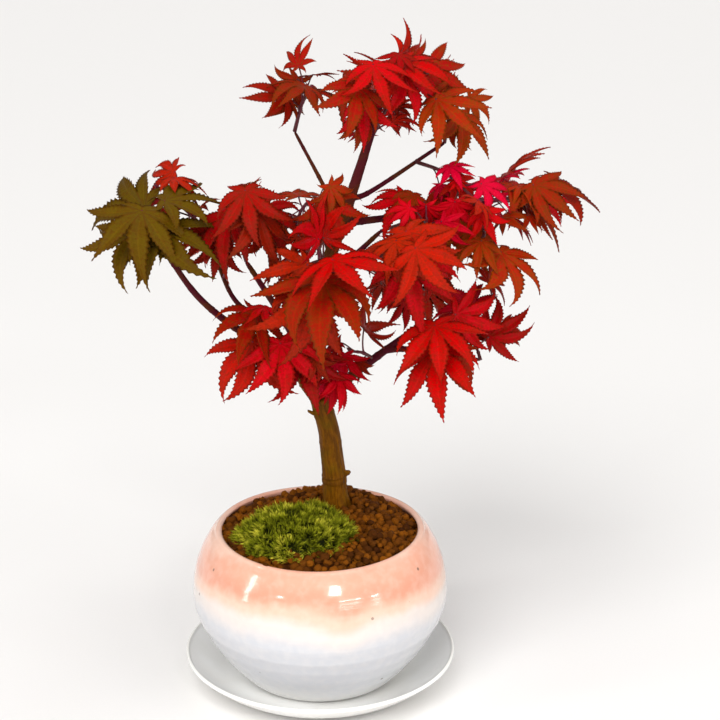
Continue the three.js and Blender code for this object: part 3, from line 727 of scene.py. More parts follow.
def pot_glaze(pot):
    """Thick glossy stoneware glaze: deep and wet to the eye, clouded, with runs and pinholes."""
    material, add = new_material("run_stoneware_glaze")
    place = add("TexCoord").outputs["Object"]
    mottle = add("TexNoise", {"Vector": place, "Scale": repeat(4.2), "Detail": 4})
    clouded = add("MapRange", {"Value": mottle, "From Min": 0.35, "From Max": 0.75,
                               "To Max": 0.12}, **SMOOTH)
    bands = glaze_bands(add, pot, place)
    colour = add("Mix", {0: clouded, 6: bands, 7: linear("#fff3e6")}, **COLOURS)
    hole = pinholes(add, place)
    dark = add("Math", {0: hole, 1: 0.8}, operation="MULTIPLY")
    colour = add("Mix", {0: dark, 6: colour, 7: linear("#6d5a4c")}, **COLOURS)
    # finger rings 2.4 mm apart, the glaze's own ripple, and the holes sunk in
    flat = add("Mapping", {"Vector": place, "Scale": (6, 6, repeat(2.4))})
    rings = add("TexNoise", {"Vector": flat, "Scale": 1.0, "Detail": 3})
    relief = add("Math", {0: rings, 1: mottle}, operation="ADD")
    relief = add("Math", {0: hole, 1: -2, 2: relief}, operation="MULTIPLY_ADD")
    bump = add("Bump", {"Height": relief, "Strength": 0.16, "Distance": 0.5 * MM})
    shader = add("BsdfPrincipled", {"Base Color": colour, "Roughness": 0.16, "Normal": bump,
                                    "Coat Weight": 0.6, "Coat Roughness": 0.05})
    add("OutputMaterial", {"Surface": shader})
    return material


def saucer_glaze(pot):
    """Plain off-white glaze, thinner at the rim where the body greys through."""
    material, add = new_material("white_saucer_glaze")
    place = add("TexCoord").outputs["Object"]
    height = add("SeparateXYZ", {0: place}).outputs["Z"]
    cloud = add("TexNoise", {"Vector": place, "Scale": repeat(25), "Detail": 4})
    clouded = add("MapRange", {"Value": cloud, "From Min": 0.3, "From Max": 0.7}, **SMOOTH)
    colour = add("Mix", {0: clouded, 6: pot.saucer, 7: linear("#f3f2ee")}, **COLOURS)
    rim = add("MapRange", {"Value": height, "From Min": 14.8 * MM, "From Max": 16.4 * MM,
                           "To Max": 0.5}, **SMOOTH)
    colour = add("Mix", {0: rim, 6: colour, 7: linear("#e8e4dc")}, **COLOURS)
    fine = add("TexNoise", {"Vector": place, "Scale": repeat(2.4), "Detail": 2})
    bump = add("Bump", {"Height": fine, "Strength": 0.1, "Distance": 0.3 * MM})
    shader = add("BsdfPrincipled", {"Base Color": colour, "Roughness": 0.2, "Normal": bump,
                                    "Coat Weight": 0.4, "Coat Roughness": 0.08})
    add("OutputMaterial", {"Surface": shader})
    return material


def grain_material(name, ground):
    """Fired loam granules: matte and dusty, pitted, no two of one brown."""
    material, add = new_material(name)
    place = add("TexCoord").outputs["Object"]
    tone = add("Attribute", attribute_name="tone").outputs["Fac"]
    pits = add("TexNoise", {"Vector": place, "Scale": repeat(1.2), "Detail": 5})
    dust = add("TexNoise", {"Vector": place, "Scale": repeat(3.3), "Detail": 3})
    dusty = add("MapRange", {"Value": dust, "From Min": 0.5, "From Max": 0.75, "To Max": 0.35}, **SMOOTH)
    colour = add("Mix", {0: tone, 6: ground.soil_dark, 7: ground.soil_light}, **COLOURS)
    colour = add("Mix", {0: dusty, 6: colour, 7: linear("#7a4a14")}, **COLOURS)
    bump = add("Bump", {"Height": pits, "Strength": 1.0, "Distance": 1.1 * MM})
    shader = add("BsdfPrincipled", {"Base Color": colour, "Roughness": 0.88, "Normal": bump,
                                    "Specular IOR Level": 0.15})
    add("OutputMaterial", {"Surface": shader})
    return material


def moss_material(ground):
    """Living moss shoots: fresh yellow green at the points, deep green below, going near black as painted
    shade deep in the clump.
    """
    material, add = new_material("living_moss")
    place = add("TexCoord").outputs["Object"]
    tone = add("Attribute", attribute_name="tone").outputs["Fac"]
    patches = add("TexNoise", {"Vector": place, "Scale": repeat(6.7), "Detail": 3})
    drift = add("MapRange", {"Value": patches, "From Min": 0.3, "From Max": 0.7, "To Min": -0.25,
                             "To Max": 0.25}, **SMOOTH)
    mixing = add("Math", {0: tone, 1: drift}, operation="ADD")
    ramp = add("ValToRGB", {"Fac": mixing}, stops=(
        (0.0, ground.moss_depth_and_shade), (1.0, ground.moss_light), (0.5, linear("#868a14"))))
    shader = add("BsdfPrincipled", {"Base Color": ramp, "Roughness": 0.65, "Specular IOR Level": 0.12})
    add("OutputMaterial", {"Surface": shader})
    return material


def paper_material(stage):
    """Matt studio paper: soft, with the faintest fibre."""
    material, add = new_material("matt_studio_paper")
    place = add("TexCoord").outputs["Object"]
    # real fibres are finer, and are drawn as coarse as they need to show
    fibre = add("TexNoise", {"Vector": place, "Scale": repeat(1.1)})
    fleck = add("MapRange", {"Value": fibre, "From Min": 0.3, "From Max": 0.7, "To Max": 0.06}, **SMOOTH)
    colour = add("Mix", {0: fleck, 6: stage.floor, 7: linear("#d8d6d2")}, **COLOURS)
    shader = add("BsdfPrincipled", {"Base Color": colour, "Roughness": 0.85})
    add("OutputMaterial", {"Surface": shader})
    return material


# ---- leaves
def outer_row(step, teeth, reach, middle, corner):
    """The rib's and the rim's point on a row past the notches: step counts the half teeth."""
    out = step / (2 * teeth)
    rib = Vector((middle + (reach - middle) * out, 0))
    if out >= 1:
        return rib, rib
    rise, fall, top = TAPER
    taper = out ** rise * (1 - out) ** fall / top
    bite = TOOTH[0] + TOOTH[1] * math.sin(2.7 * (step + INNER_ROWS) + 5 * reach)
    tooth = (1 if step % 2 else -0.5) * bite * reach * min(1, taper + 0.25)
    width = corner.y * (1 - out) ** 2 + LOBE_WIDTH * reach * taper + tooth
    lead = 0.25 * out * (1 - out)
    return rib, Vector((corner.x + (reach - corner.x) * (out + lead) + tooth * 0.8, width))


def lobe_row(row, teeth, reach, notches, halves, u):
    """A point of a lobe lying along X: row counts from the leaf's base, u is -1 to 1 across."""
    side = 0 if u < 0 else 1
    notch, half = notches[side], math.radians(halves[side])
    corner = Vector((notch * math.cos(half), notch * math.sin(half)))
    middle = (notches[0] + notches[1]) / 2
    if row <= INNER_ROWS:
        share = row / INNER_ROWS
        rib, edge = Vector((middle * share, 0)), corner * share
    else:
        rib, edge = outer_row(row - INNER_ROWS, teeth, reach, middle, corner)
    point = rib.lerp(edge, abs(u))
    return point.x, math.copysign(point.y, u)


def add_lobe(bm, marks, angle, reach, notches, halves, teeth, number):
    """One lobe of the flat leaf, as a grid drawn out to its outline."""
    rows = INNER_ROWS + 2 * teeth
    grid = bmesh.ops.create_grid(bm, x_segments=ACROSS, y_segments=rows, size=1)
    turn = Matrix.Rotation(math.radians(angle), 3, "Z")
    for v in grid["verts"]:
        u, row = v.co.x, round((v.co.y + 1) / 2 * rows)
        x, y = lobe_row(row, teeth, reach, notches, halves, u)
        outer = max(0, (row - INNER_ROWS) / (2 * teeth))
        fold = PLEAT * abs(y)
        if 0 < outer < 1:
            fold += PUCKER * reach * (1 if row % 2 else -1) * math.sin(math.pi * abs(u))
        v.co = turn @ Vector((x, y, fold))
        v[marks["across"]], v[marks["reach"]] = abs(u), x / reach
        v[marks["rank"]], v[marks["outer"]] = max(0, row - INNER_ROWS) / 2, outer
        v[marks["lobe"]], v[marks["off_rib"]] = number, y


def notch_after(i):
    """From a lobe's rib to the notch that follows it: half the angle between ribs, and its length."""
    if i == len(LOBES) - 1:
        return BACK_ANGLE - LOBES[i][0], BACK_NOTCH
    return (LOBES[i + 1][0] - LOBES[i][0]) / 2, NOTCHES[i]


def add_lobes(bm, marks):
    """The middle lobe and those on its left, then those on its right."""
    count = len(LOBES)
    for side in (1, -1):
        for i in range(0 if side > 0 else 1, count):
            angle, reach = LOBES[i]
            before, after = notch_after(max(0, i - 1)), notch_after(i)
            near, far = (before, after) if side > 0 else (after, before)
            teeth = TEETH if i < count - 1 else SMALL_LOBE_TEETH
            number = i if side > 0 else i + count
            add_lobe(bm, marks, angle * side, reach, (near[1], far[1]), (near[0], far[0]), teeth, number)


def leaf_template():
    """The flat leaf, closed: an upper and a lower sheet that share their rim."""
    bm = bmesh.new()
    names = ("across", "reach", "rank", "outer", "lobe", "off_rib")
    marks = {name: bm.verts.layers.float.new(name) for name in names}
    add_lobes(bm, marks)
    bmesh.ops.remove_doubles(bm, verts=bm.verts, dist=1e-4)
    bmesh.ops.recalc_face_normals(bm, faces=bm.faces)
    if sum(face.normal.z for face in bm.faces) < 0:
        bmesh.ops.reverse_faces(bm, faces=bm.faces)
    within = [v for v in bm.verts if not v.is_boundary]
    lower = bmesh.ops.duplicate(bm, geom=[*bm.verts, *bm.edges, *bm.faces])
    bmesh.ops.reverse_faces(bm, faces=[g for g in lower["geom"] if isinstance(g, bmesh.types.BMFace)])
    sunk = [lower["vert_map"][v] for v in within]
    bmesh.ops.translate(bm, verts=sunk, vec=(0, 0, -LEAF_THICKNESS))
    bmesh.ops.remove_doubles(bm, verts=bm.verts, dist=1e-6)
    shape = {name: np.array([v[layer] for v in bm.verts]) for name, layer in marks.items()}
    shape["co"], shape["faces"] = shape_of(bm)
    return shape


def tilted(leaf, roll, pitch):
    """The leaf's rib, side and upward directions, rolled about the rib and then pitched up."""
    side = leaf.side * math.cos(roll) + leaf.normal * math.sin(roll)
    up = np.cross(leaf.rib, side)
    rib = leaf.rib * math.cos(pitch) + up * math.sin(pitch)
    return rib, side, up * math.cos(pitch) - leaf.rib * math.sin(pitch)


def leaf_copy(shape, leaf, seed):
    """The leaf's vertices in metres: lobes swing, twist, arch and curl a little, each its own way."""
    lobe, outer = shape["lobe"].astype(int), shape["outer"]
    swing, arch, twist, longer, hook = (seed.draws(2 * len(LOBES), *limits)[lobe]
                                        for limits in LOBE_STRAY.values())
    roll, pitch = math.radians(seed.draw(*ROLL_STRAY)), math.radians(seed.draw(*PITCH_STRAY))
    pitch += FLATTER * clamped((abs(leaf.base[0]) - FLATTER_FROM) / FLATTER_SPAN)
    rib, side, up = tilted(leaf, roll, pitch)
    inner, gain, far = OUTER_GAIN
    size = leaf.size * (inner + gain * (math.hypot(leaf.base[0], leaf.base[1]) / far) ** 2)
    x, y, z = shape["co"].T
    radius = np.hypot(x, y) * (1 + longer * outer)
    angle = np.arctan2(y, x) + np.radians(swing * outer + hook * outer ** 2)
    drop = leaf.curl * radius ** 2 + arch * outer ** 2 - twist * shape["off_rib"] * outer
    place = (leaf.base + size * (
        (radius * np.cos(angle))[:, None] * rib
        + (radius * np.sin(angle))[:, None] * side
        + (z - drop)[:, None] * up))
    return place * MM


def stalk_tube(leaf, thick):
    """The stalk: out along the stem, then bowed into the blade's base from below."""
    reach = math.dist(leaf.node, leaf.base)
    end = leaf.base - leaf.normal * 0.15
    first = leaf.node + (leaf.way * 0.35 + unit(leaf.base - leaf.node) * 0.65) * reach * 0.4
    second = end - (leaf.rib * 0.6 + leaf.normal * 0.25) * reach * 0.35
    t = np.linspace(0, 1, 9)[:, None]
    line = ((1 - t) ** 3 * leaf.node + 3 * (1 - t) ** 2 * t * first + 3 * (1 - t) * t ** 2 * second
            + t ** 3 * end)
    at_foot, at_blade = np.exp(-((t[:, 0] / 0.1) ** 2)), np.exp(-(((1 - t[:, 0]) / 0.08) ** 2))
    return line, thick * (1 + 0.7 * at_foot + 0.45 * at_blade)


def stem_tube(mass):
    """The mass's stem from its limb to its head, swollen where the pairs stand."""
    line = smooth_line(stem_path(mass), 12)
    t = np.linspace(0, 1, len(line))
    radius = STEM[0] + (STEM[1] - STEM[0]) * t
    for pair in range(mass.pairs):
        node = pair_place(pair, mass.pairs)
        radius = radius * (1 + 0.35 * np.exp(-(((t - node) / 0.03) ** 2)))
    return line, radius


STALK_RADII = (0.42, 0.33)  # of the grown leaves and of the young ones
BUD = ((0, 0.45), (0.8, 0.75), (1.7, 0.8), (2.6, 0.5), (3.4, 0.12))  # length and radius along a bud


def bud_tubes(mass):
    """The pair of pointed buds at the head of a stem."""
    path = stem_path(mass)
    way = unit(path[2] - path[1])
    flat, _ = beside(way)
    radii = np.array([radius for _, radius in BUD])
    return [(np.array([path[2] + (way + flat * side * 0.45) * length for length, _ in BUD]), radii)
            for side in (1, -1)]


def dealt_tint(mass, seed):
    """Most leaves of a spray take its tint, some the next one."""
    pick = seed.draw(0, 1)
    return mass.tint if pick < OWN_TINT else NEIGHBOURS[mass.tint][int(pick * 100) % 2]


def deal_leaves(crown, young, shape):
    """Each tint's leaves, as their points and a tone, and the tubes of the stalks and stems."""
    dealt = {tint: [] for tint in TINTS}
    stalks, stems = [], []
    for name, mass in MASSES.items():
        seed = Seed(mass.seed + SHAPE_SEED)
        stems += [stem_tube(mass), *bud_tubes(mass)]
        for thick, leaves in zip(STALK_RADII, (crown[name], young[name])):
            for leaf in leaves:
                tint = dealt_tint(mass, seed)
                dealt[tint].append((leaf_copy(shape, leaf, seed), seed.draw(0, 1)))
                stalks.append(stalk_tube(leaf, thick))
    return dealt, stalks, stems


def make_leaves(tint, leaves, shape, material):
    """All leaves of one tint, in place of the masses that have it."""
    one = np.ones((len(leaves), len(shape["across"])))
    marks = {
        "blade": np.stack([one * shape[mark] for mark in ("across", "reach", "rank")], -1),
        "tone": one * np.array([tone for _, tone in leaves])[:, None],
    }
    copies = np.array([points for points, _ in leaves])
    mesh = joined_mesh(f"{tint}_leaves", shape["faces"], copies, marks)
    nodes = [f"leaves_{name}" for name, mass in MASSES.items() if mass.tint == tint]
    finish_piece(add_object(f"{tint}_leaves", mesh, material), f"leaves_{tint}", *nodes)


def make_foliage(settings):
    """The crown's leaves, one piece to each tint, with their stalks and stems."""
    crown, young = grow_crown(settings.young)
    shape = leaf_template()
    dealt, stalks, stems = deal_leaves(crown, young, shape)
    for tint, leaves in dealt.items():
        heart, tip = getattr(settings, tint), getattr(settings, tint + "_tip")
        if leaves:
            make_leaves(tint, leaves, shape, leaf_material(f"{tint}_maple_leaf", heart, tip))
    material = twig_material(settings.shoot, settings.shoot_shade)
    for name, tubes in (("leaf_stalks", stalks), ("leafy_twigs", stems)):
        finish_piece(add_object(name, tubes_mesh(name, tubes, 1), material), "twig")


# ---- wood
# Stubs of pruned twigs: line and radii.
STUBS = (
    ([(10, 11, 100.2), (12.6, 10.4, 101.0), (14.1, 10.0, 101.6), (14.7, 9.8, 101.9)],
     (1.5, 1.25, 1.0, 0.5)),
    ([(2, 9, 131), (-2.6, 6.6, 132.5), (-4.6, 5.6, 134), (-5.2, 5.2, 134.6)],
     (1.3, 0.9, 0.7, 0.35)),
)
FLARE, FLARE_HEIGHT = 0.30, 13  # how much wider the trunk's foot is, and how far up that shows
COLLAR, COLLAR_LENGTH = 0.45, 5.0  # and a bough where it leaves its parent
ROUNDED_TIP = (0.95, 0.85, 0.72)  # the radii of a bough's last samples
ROOT, CUT = 3, 1.2  # how far below the soil's top the trunk is drawn, and then cut flat
# Rings left on the trunk: length from its foot and strength. Those on the boughs stand evenly.
TRUNK_RINGS = ((17.0, 1.0), (19.5, 0.8), (37.0, 0.35), (52.0, 0.5))
BOUGH_RINGS = [(place, 0.6) for place in np.arange(9.0, 190.0, 14.0)]


def limb_samples(name):
    """Line, radius and length along a limb, about a sample each millimetre."""
    limb = LIMBS[name]
    line = smooth_line(limb.path, 12)
    lengths = np.concatenate([[0], np.cumsum(np.sqrt((np.diff(line, axis=0) ** 2).sum(1)))])
    even = np.linspace(0, lengths[-1], max(8, int(lengths[-1])))
    line = np.column_stack([np.interp(even, lengths, line[:, k]) for k in range(3)])
    t = even / even[-1]
    radius = limb.foot + (limb.tip - limb.foot) * t
    if name == "trunk":
        low = np.clip(1 - (line[:, 2] - line[0, 2]) / FLARE_HEIGHT, 0, 1)
        radius = radius * (1 + FLARE * low ** 2)
    elif name != "leader":
        radius = radius * (1 + COLLAR * np.exp(-even / COLLAR_LENGTH))
        radius[-3:] = radius[-3:] * np.array(ROUNDED_TIP)
    return line, radius, even


def wood_tubes(samples):
    """A tube for each limb, the trunk's run down into the soil, and one for each stub."""
    tubes = [(line, radius) for line, radius, _ in samples.values()]
    line, radius = tubes[0]
    tubes[0] = (np.vstack([line[0] - (0, 0, ROOT), line]), np.concatenate([[radius[0]], radius]))
    return tubes + [(np.array(line, float), np.array(radii)) for line, radii in STUBS]


def grown_together(piece, voxel):
    """The tubes of a piece as one skin, in place of its mesh."""
    tubes = piece.data
    remesh = piece.modifiers.new("union", "REMESH")
    remesh.mode, remesh.voxel_size = "VOXEL", voxel
    joined = evaluated_mesh(piece)
    piece.modifiers.clear()
    piece.data = joined
    bpy.data.meshes.remove(tubes)
    return joined


def cut_foot(bm):
    """The trunk cut flat just below the soil's top."""
    cut = bmesh.ops.bisect_plane(bm, geom=[*bm.verts, *bm.edges, *bm.faces], clear_outer=True,
                                 plane_co=(0, 0, SOIL["top"] - CUT), plane_no=(0, 0, -1))
    edges = [edge for edge in cut["geom_cut"] if isinstance(edge, bmesh.types.BMEdge)]
    bmesh.ops.holes_fill(bm, edges=edges)


def make_wood(settings):
    """The limbs, in millimetres until their bark is raised."""
    samples = {name: limb_samples(name) for name in LIMBS}
    mesh = tubes_mesh("trunk_and_boughs", wood_tubes(samples), 6)
    mesh.transform(Matrix.Scale(1 / MM, 4))
    piece = add_object("trunk_and_boughs", mesh)
    joined = grown_together(piece, settings.detail / MM)
    bm = bmesh.new()
    bm.from_mesh(joined)
    for _ in range(3):
        bmesh.ops.smooth_vert(bm, verts=bm.verts, factor=0.5, use_axis_x=True, use_axis_y=True,
                              use_axis_z=True)
    bm.normal_update()
    raise_bark(bm, samples, settings.relief / MM)
    cut_foot(bm)
    bmesh.ops.scale(bm, vec=(MM, MM, MM), verts=bm.verts)
    bmesh.ops.recalc_face_normals(bm, faces=bm.faces)
    bm.to_mesh(joined)
    bm.free()
    joined.name = "trunk_and_boughs"
    joined.shade_smooth()
    joined.materials.clear()
    joined.materials.append(bark_material(settings))
    finish_piece(piece, "bark", *LIMBS)


def ring_scar(name, length):
    """How strong a ring left by an old pair of leaves is, at a length along a limb."""
    rings, width = (TRUNK_RINGS, 0.9) if name == "trunk" else (BOUGH_RINGS, 0.55)
    return sum(strength * np.exp(-((length - place) / width) ** 2) for place, strength in rings)


def nearest_samples(co, places, radii):
    """For each vertex, the number of the sample whose skin is nearest."""
    parts = np.array_split(co, max(1, len(co) // 4000))
    return np.concatenate([
        (np.sqrt(((part[:, None] - places[None]) ** 2).sum(2)) - radii).argmin(1) for part in parts])


def bark_height(radius, length, around, ring, depth):
    """How far the bark stands out, and its finer grain, at a place on a limb."""
    turn = np.array([math.cos(around), math.sin(around)]) * radius
    streak = noise.noise(Vector((turn[0] * 0.9, turn[1] * 0.9, length * 0.11 + radius)))
    fine = noise.noise(Vector((turn[0] * 2.4, turn[1] * 2.4, length * 0.5)))
    push = depth * min(1, radius / 3) * (streak + 0.35 * fine)
    push += 0.32 * ring * min(1, radius / 4) + 0.12 * ring
    return push, fine, turn


def root_flare(height, around):
    """Five soft ridges that run out at the trunk's foot."""
    low = max(0, 1 - (height - SOIL["top"]) / FLARE_HEIGHT)
    return 1.1 * low * low * math.cos(5 * around + 0.6)


def raise_bark(bm, samples, depth):
    """Streaked bark, ring scars and root flare, with the marks that the bark's material reads."""
    places = np.vstack([line for line, _, _ in samples.values()])
    radii = np.concatenate([radius for _, radius, _ in samples.values()])
    lengths = np.concatenate([even for _, _, even in samples.values()])
    ways = np.vstack([np.gradient(line, axis=0) for line, _, _ in samples.values()])
    ways /= np.sqrt((ways ** 2).sum(1))[:, None]
    rings = np.concatenate([ring_scar(name, even) for name, (_, _, even) in samples.items()])
    trunk = len(samples["trunk"][0])
    nearest = nearest_samples(np.array([v.co[:] for v in bm.verts]), places, radii)
    grain = bm.verts.layers.float_vector.new("grain")
    girth = bm.verts.layers.float.new("girth")
    scar = bm.verts.layers.float.new("scar")
    for v, n in zip(bm.verts, nearest):
        way = ways[n]
        flat = square(np.array([0.0, 1.0, 0.0] if abs(way[1]) < 0.9 else [1.0, 0.0, 0.0]), way)
        off = np.array(v.co) - places[n]
        around = math.atan2(off @ np.cross(way, flat), off @ flat)
        length = lengths[n] + off @ way
        push, fine, turn = bark_height(radii[n], length, around, rings[n], depth)
        if n < trunk:
            push += root_flare(v.co.z, around)
        v[grain] = (turn[0], length, turn[1])
        v[girth], v[scar] = radii[n], rings[n] * (0.5 + 0.5 * fine)
        v.co += v.normal * push


# ---- turned pieces
LIP = {"centre": 1.25, "reach": 1.75, "drop": 1.6}  # the rim's roll, in from and below its edge
THROWN_FROM, THROWN_SPAN = 20, 58  # heights over which the pot is more and more out of round
STEPS_ROUND = 168
ROLL = {"reach": 0.75, "drop": 0.85}  # the saucer's rolled rim


def wall_radius(z):
    """The pot's outer radius at a height."""
    reach, power = LOWER_WALL if z < POT["belly_at"] else UPPER_WALL
    return POT["belly"] * (1 - (abs(z - POT["belly_at"]) / reach) ** power) ** (1 / power)


def pot_profile():
    """The wall in section: the foot, the outside up to the lip, and the inside down to the drain."""
    base, foot, drain, wall = POT["base"], POT["foot"], POT["drain"], POT["wall"]
    floor = base + POT["floor"]
    outside = [(wall_radius(z), z) for z in np.linspace(base + 1, POT["rim_at"] - 2.0, 44)]
    lip = [(POT["rim"] - LIP["centre"] + LIP["reach"] * math.cos(a),
            POT["rim_at"] - LIP["drop"] + LIP["drop"] * math.sin(a))
           for a in np.linspace(0.15, math.pi - 0.3, 9)]
    inside = [(wall_radius(z) - wall, z) for z in np.linspace(POT["rim_at"] - 3.2, floor + 4, 20)]
    return [(drain, base), (foot - 2.5, base), (foot - 0.8, base + 0.3), *outside, *lip, *inside,
            (wall_radius(floor) - wall - 3.5, floor), (drain, floor)]


def saucer_profile():
    """The dish in section, from the middle of its underside to the middle of its floor."""
    rim, foot, height, wall, floor = (SAUCER[k] for k in ("rim", "foot", "height", "wall", "floor"))
    outside = [(foot + 1 + (rim - foot - 1) * t, 0.8 + (height - 2.2) * t ** 1.7)
               for t in np.linspace(0, 1, 24)]
    inside = [(foot + 2 + (rim - foot - wall) * t, floor + (height - 0.9 - floor) * t ** 1.9)
              for t in np.linspace(1, 0, 24)]
    roll = [(rim - ROLL["reach"] + ROLL["reach"] * math.cos(a),
             height - ROLL["drop"] + ROLL["drop"] * math.sin(a))
            for a in np.linspace(0, math.pi * 0.7, 6)]
    return [(0, 0), (foot - 1, 0), (foot, 0.25), *outside, *roll, *inside, (foot - 2, floor - 0.1),
            (0, floor - 0.1)]


def spun(profile, closed):
    """A profile of radius and height turned all the way round."""
    bm = bmesh.new()
    verts = [bm.verts.new((r * MM, 0, z * MM)) for r, z in profile]
    pairs = list(zip(verts, verts[1:])) + ([(verts[-1], verts[0])] if closed else [])
    edges = [bm.edges.new(pair) for pair in pairs]
    bmesh.ops.spin(bm, geom=verts + edges, cent=(0, 0, 0), axis=(0, 0, 1), dvec=(0, 0, 0),
                   angle=2 * math.pi, steps=STEPS_ROUND, use_merge=True, use_duplicate=False)
    bmesh.ops.remove_doubles(bm, verts=bm.verts, dist=1e-7)
    bmesh.ops.recalc_face_normals(bm, faces=bm.faces)
    return bm


def throw_by_hand(bm, rings):
    """Faint finger rings, and a rim that is not quite round or level."""
    for v in bm.verts:
        turn, height = math.atan2(v.co.y, v.co.x), v.co.z / MM
        share = max(0, (height - THROWN_FROM) / THROWN_SPAN)
        ring = rings * math.sin(height * 0.95 + 0.4 * math.sin(turn))
        oval = 0.004 * math.cos(2 * turn + 0.5) + 0.003 * math.cos(3 * turn)
        swell = 1 + oval * share + ring / POT["belly"]
        v.co.x, v.co.y = v.co.x * swell, v.co.y * swell
        v.co.z += share ** 2 * (0.7 * math.sin(turn + 0.4) + 0.35 * math.cos(2 * turn)) * MM


def make_pot(settings):
    bm = spun(pot_profile(), closed=True)
    throw_by_hand(bm, settings.rings / MM)
    piece = add_object("glazed_pot", mesh_from("glazed_pot", bm), pot_glaze(settings))
    finish_piece(piece, "pot", "pot")


def make_saucer(settings):
    bm = spun(saucer_profile(), closed=False)
    piece = add_object("glazed_saucer", mesh_from("glazed_saucer", bm), saucer_glaze(settings))
    finish_piece(piece, "saucer", "saucer")


# ---- soil and moss
GRAIN_SEED, MOSS_SEED = 411, 97
GRAIN_LAYERS = (-1.1, 0.5, 2.1, 3.7, 5.3, 6.9)  # heights above the soil; the upper ones heap up
GRAIN_PITCH = 0.86  # from grain to grain, of a grain's width
ROW_PITCH = 0.87  # from row to row, of that
GRAIN_SIZES = (0.62, 1.22)
ROUND_TRUNK, AT_WALL, UNDER_MOSS = 7.0, 0.6, 3.5  # how close grains come to each
SHOOT_LEAFLETS = 11
LEAFLET_TURN = 2.4  # radians round the stem from one leaflet to the next
LEAFLET_OPEN = (46, 38)  # degrees from the stem at its foot, and how many fewer at its tip
LEAFLET = {"length": (3.0, 5.6), "girth": 0.035, "widest": 0.45, "swell": 2.7, "thin": 0.5}


def soil_radius():
    """The pot's inner radius at the soil's edge."""
    return wall_radius(SOIL["edge"]) - POT["wall"]


def soil_height(r):
    """The soil's top, flat in the middle and falling to its edge."""
    t = clamped((r - SOIL["flat"]) / (soil_radius() - SOIL["flat"]))
    return SOIL["top"] - (SOIL["top"] - SOIL["edge"]) * t ** 1.6


def in_moss(x, y, margin):
    """True inside the clump's oval, drawn in by a margin."""
    (cx, cy), (rx, ry) = MOSS["centre"], MOSS["spread"]
    return ((x - cx) / (rx - margin)) ** 2 + ((y - cy) / (ry - margin)) ** 2 < 1


def turned_by(seed):
    """A random rotation."""
    axis = Vector(seed.draws(3, -1, 1)).normalized()
    return np.array(Matrix.Rotation(seed.draw(0, math.tau), 3, axis))


def has_grain(x, y, layer, size, keep):
    """Whether a grain lies here: keep, from 0 to 1, raises the odd one above the heap."""
    trunk = LIMBS["trunk"].path[0][:2]
    if math.hypot(x, y) + size > soil_radius() + AT_WALL:
        return False
    if math.dist((x, y), trunk) < ROUND_TRUNK + size * 0.5 or in_moss(x, y, UNDER_MOSS):
        return False
    heap = HEAP["height"] * math.exp(-((math.dist((x, y), HEAP["centre"]) / HEAP["reach"]) ** 2))
    return layer < 2 or GRAIN_LAYERS[layer] <= 1 + heap + 1.4 * keep ** 3


def grain_copy(co, seed, x, y, layer, size):
    """A ball made lumpy, flattened and turned, and laid in its layer."""
    turn, place = turned_by(seed), Vector((x, y, layer))
    lumps = np.array([1 + 0.4 * noise.noise(Vector(p * 1.2) + place)
                      + 0.16 * noise.noise(Vector(p * 3.3) - place) for p in co])
    shape = co * lumps[:, None] * np.array([1, seed.draw(0.78, 1), seed.draw(0.7, 0.95)])
    z = soil_height(math.hypot(x, y)) + GRAIN_LAYERS[layer] + seed.draw(-0.5, 0.5)
    return shape @ turn.T * size + (x, y, z)


def lay_grains(co, width):
    """Layers of staggered rows, each grain a little out of line. Copies and their tones."""
    seed, grains, tones = Seed(GRAIN_SEED), [], []
    pitch, rim = width * GRAIN_PITCH, soil_radius()
    rows = range(int(2 * rim / pitch) + 2)
    for layer in range(len(GRAIN_LAYERS)):
        for i, j in product(rows, rows):
            x = -rim + pitch * (i + (j % 2) / 2) + seed.draw(-0.8, 0.8)
            y = -rim + pitch * ROW_PITCH * j + seed.draw(-0.8, 0.8)
            size = width / 2 * seed.draw(*GRAIN_SIZES)
            keep, tone = seed.draw(0, 1), seed.draw(0, 1)
            if has_grain(x, y, layer, size, keep):
                grains.append(grain_copy(co, seed, x, y, layer, size))
                tones.append(tone)
    return np.array(grains) * MM, np.array(tones)


def make_soil(settings):
    """Loose grains over the soil, whose own surface takes the same earth."""
    bm = bmesh.new()
    bmesh.ops.create_icosphere(bm, subdivisions=2, radius=1)
    co, faces = shape_of(bm)
    copies, tones = lay_grains(co, settings.grain / MM)
    marks = {"tone": np.ones(copies.shape[:2]) * tones[:, None]}
    mesh = joined_mesh("soil_grains", faces, copies, marks)
    material = grain_material("fired_loam_grains", settings)
    finish_piece(add_object("soil_grains", mesh, material), "soil")
    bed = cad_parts["soil"]
    bed.data.materials.clear()
    bed.data.materials.append(grain_material("fired_loam_bed", settings))


def moss_point(u, v):
    """A point of the clump and its normal: u is the angle round, v the height angle."""
    x, y, z = math.cos(u) * math.cos(v), math.sin(u) * math.cos(v), math.sin(v)
    lump = 1 + 0.06 * math.sin(7 * x + 2) * math.cos(6 * y) + 0.05 * math.sin(11 * y + 5 * x)
    size = np.array([*MOSS["spread"], MOSS["height"] + MOSS["sunk"]], float) - 2.2
    place = np.array([*MOSS["centre"], SOIL["top"] - MOSS["sunk"]]) + size * (x, y, z) * lump
    return place, unit(np.array([x, y, z]) / size)


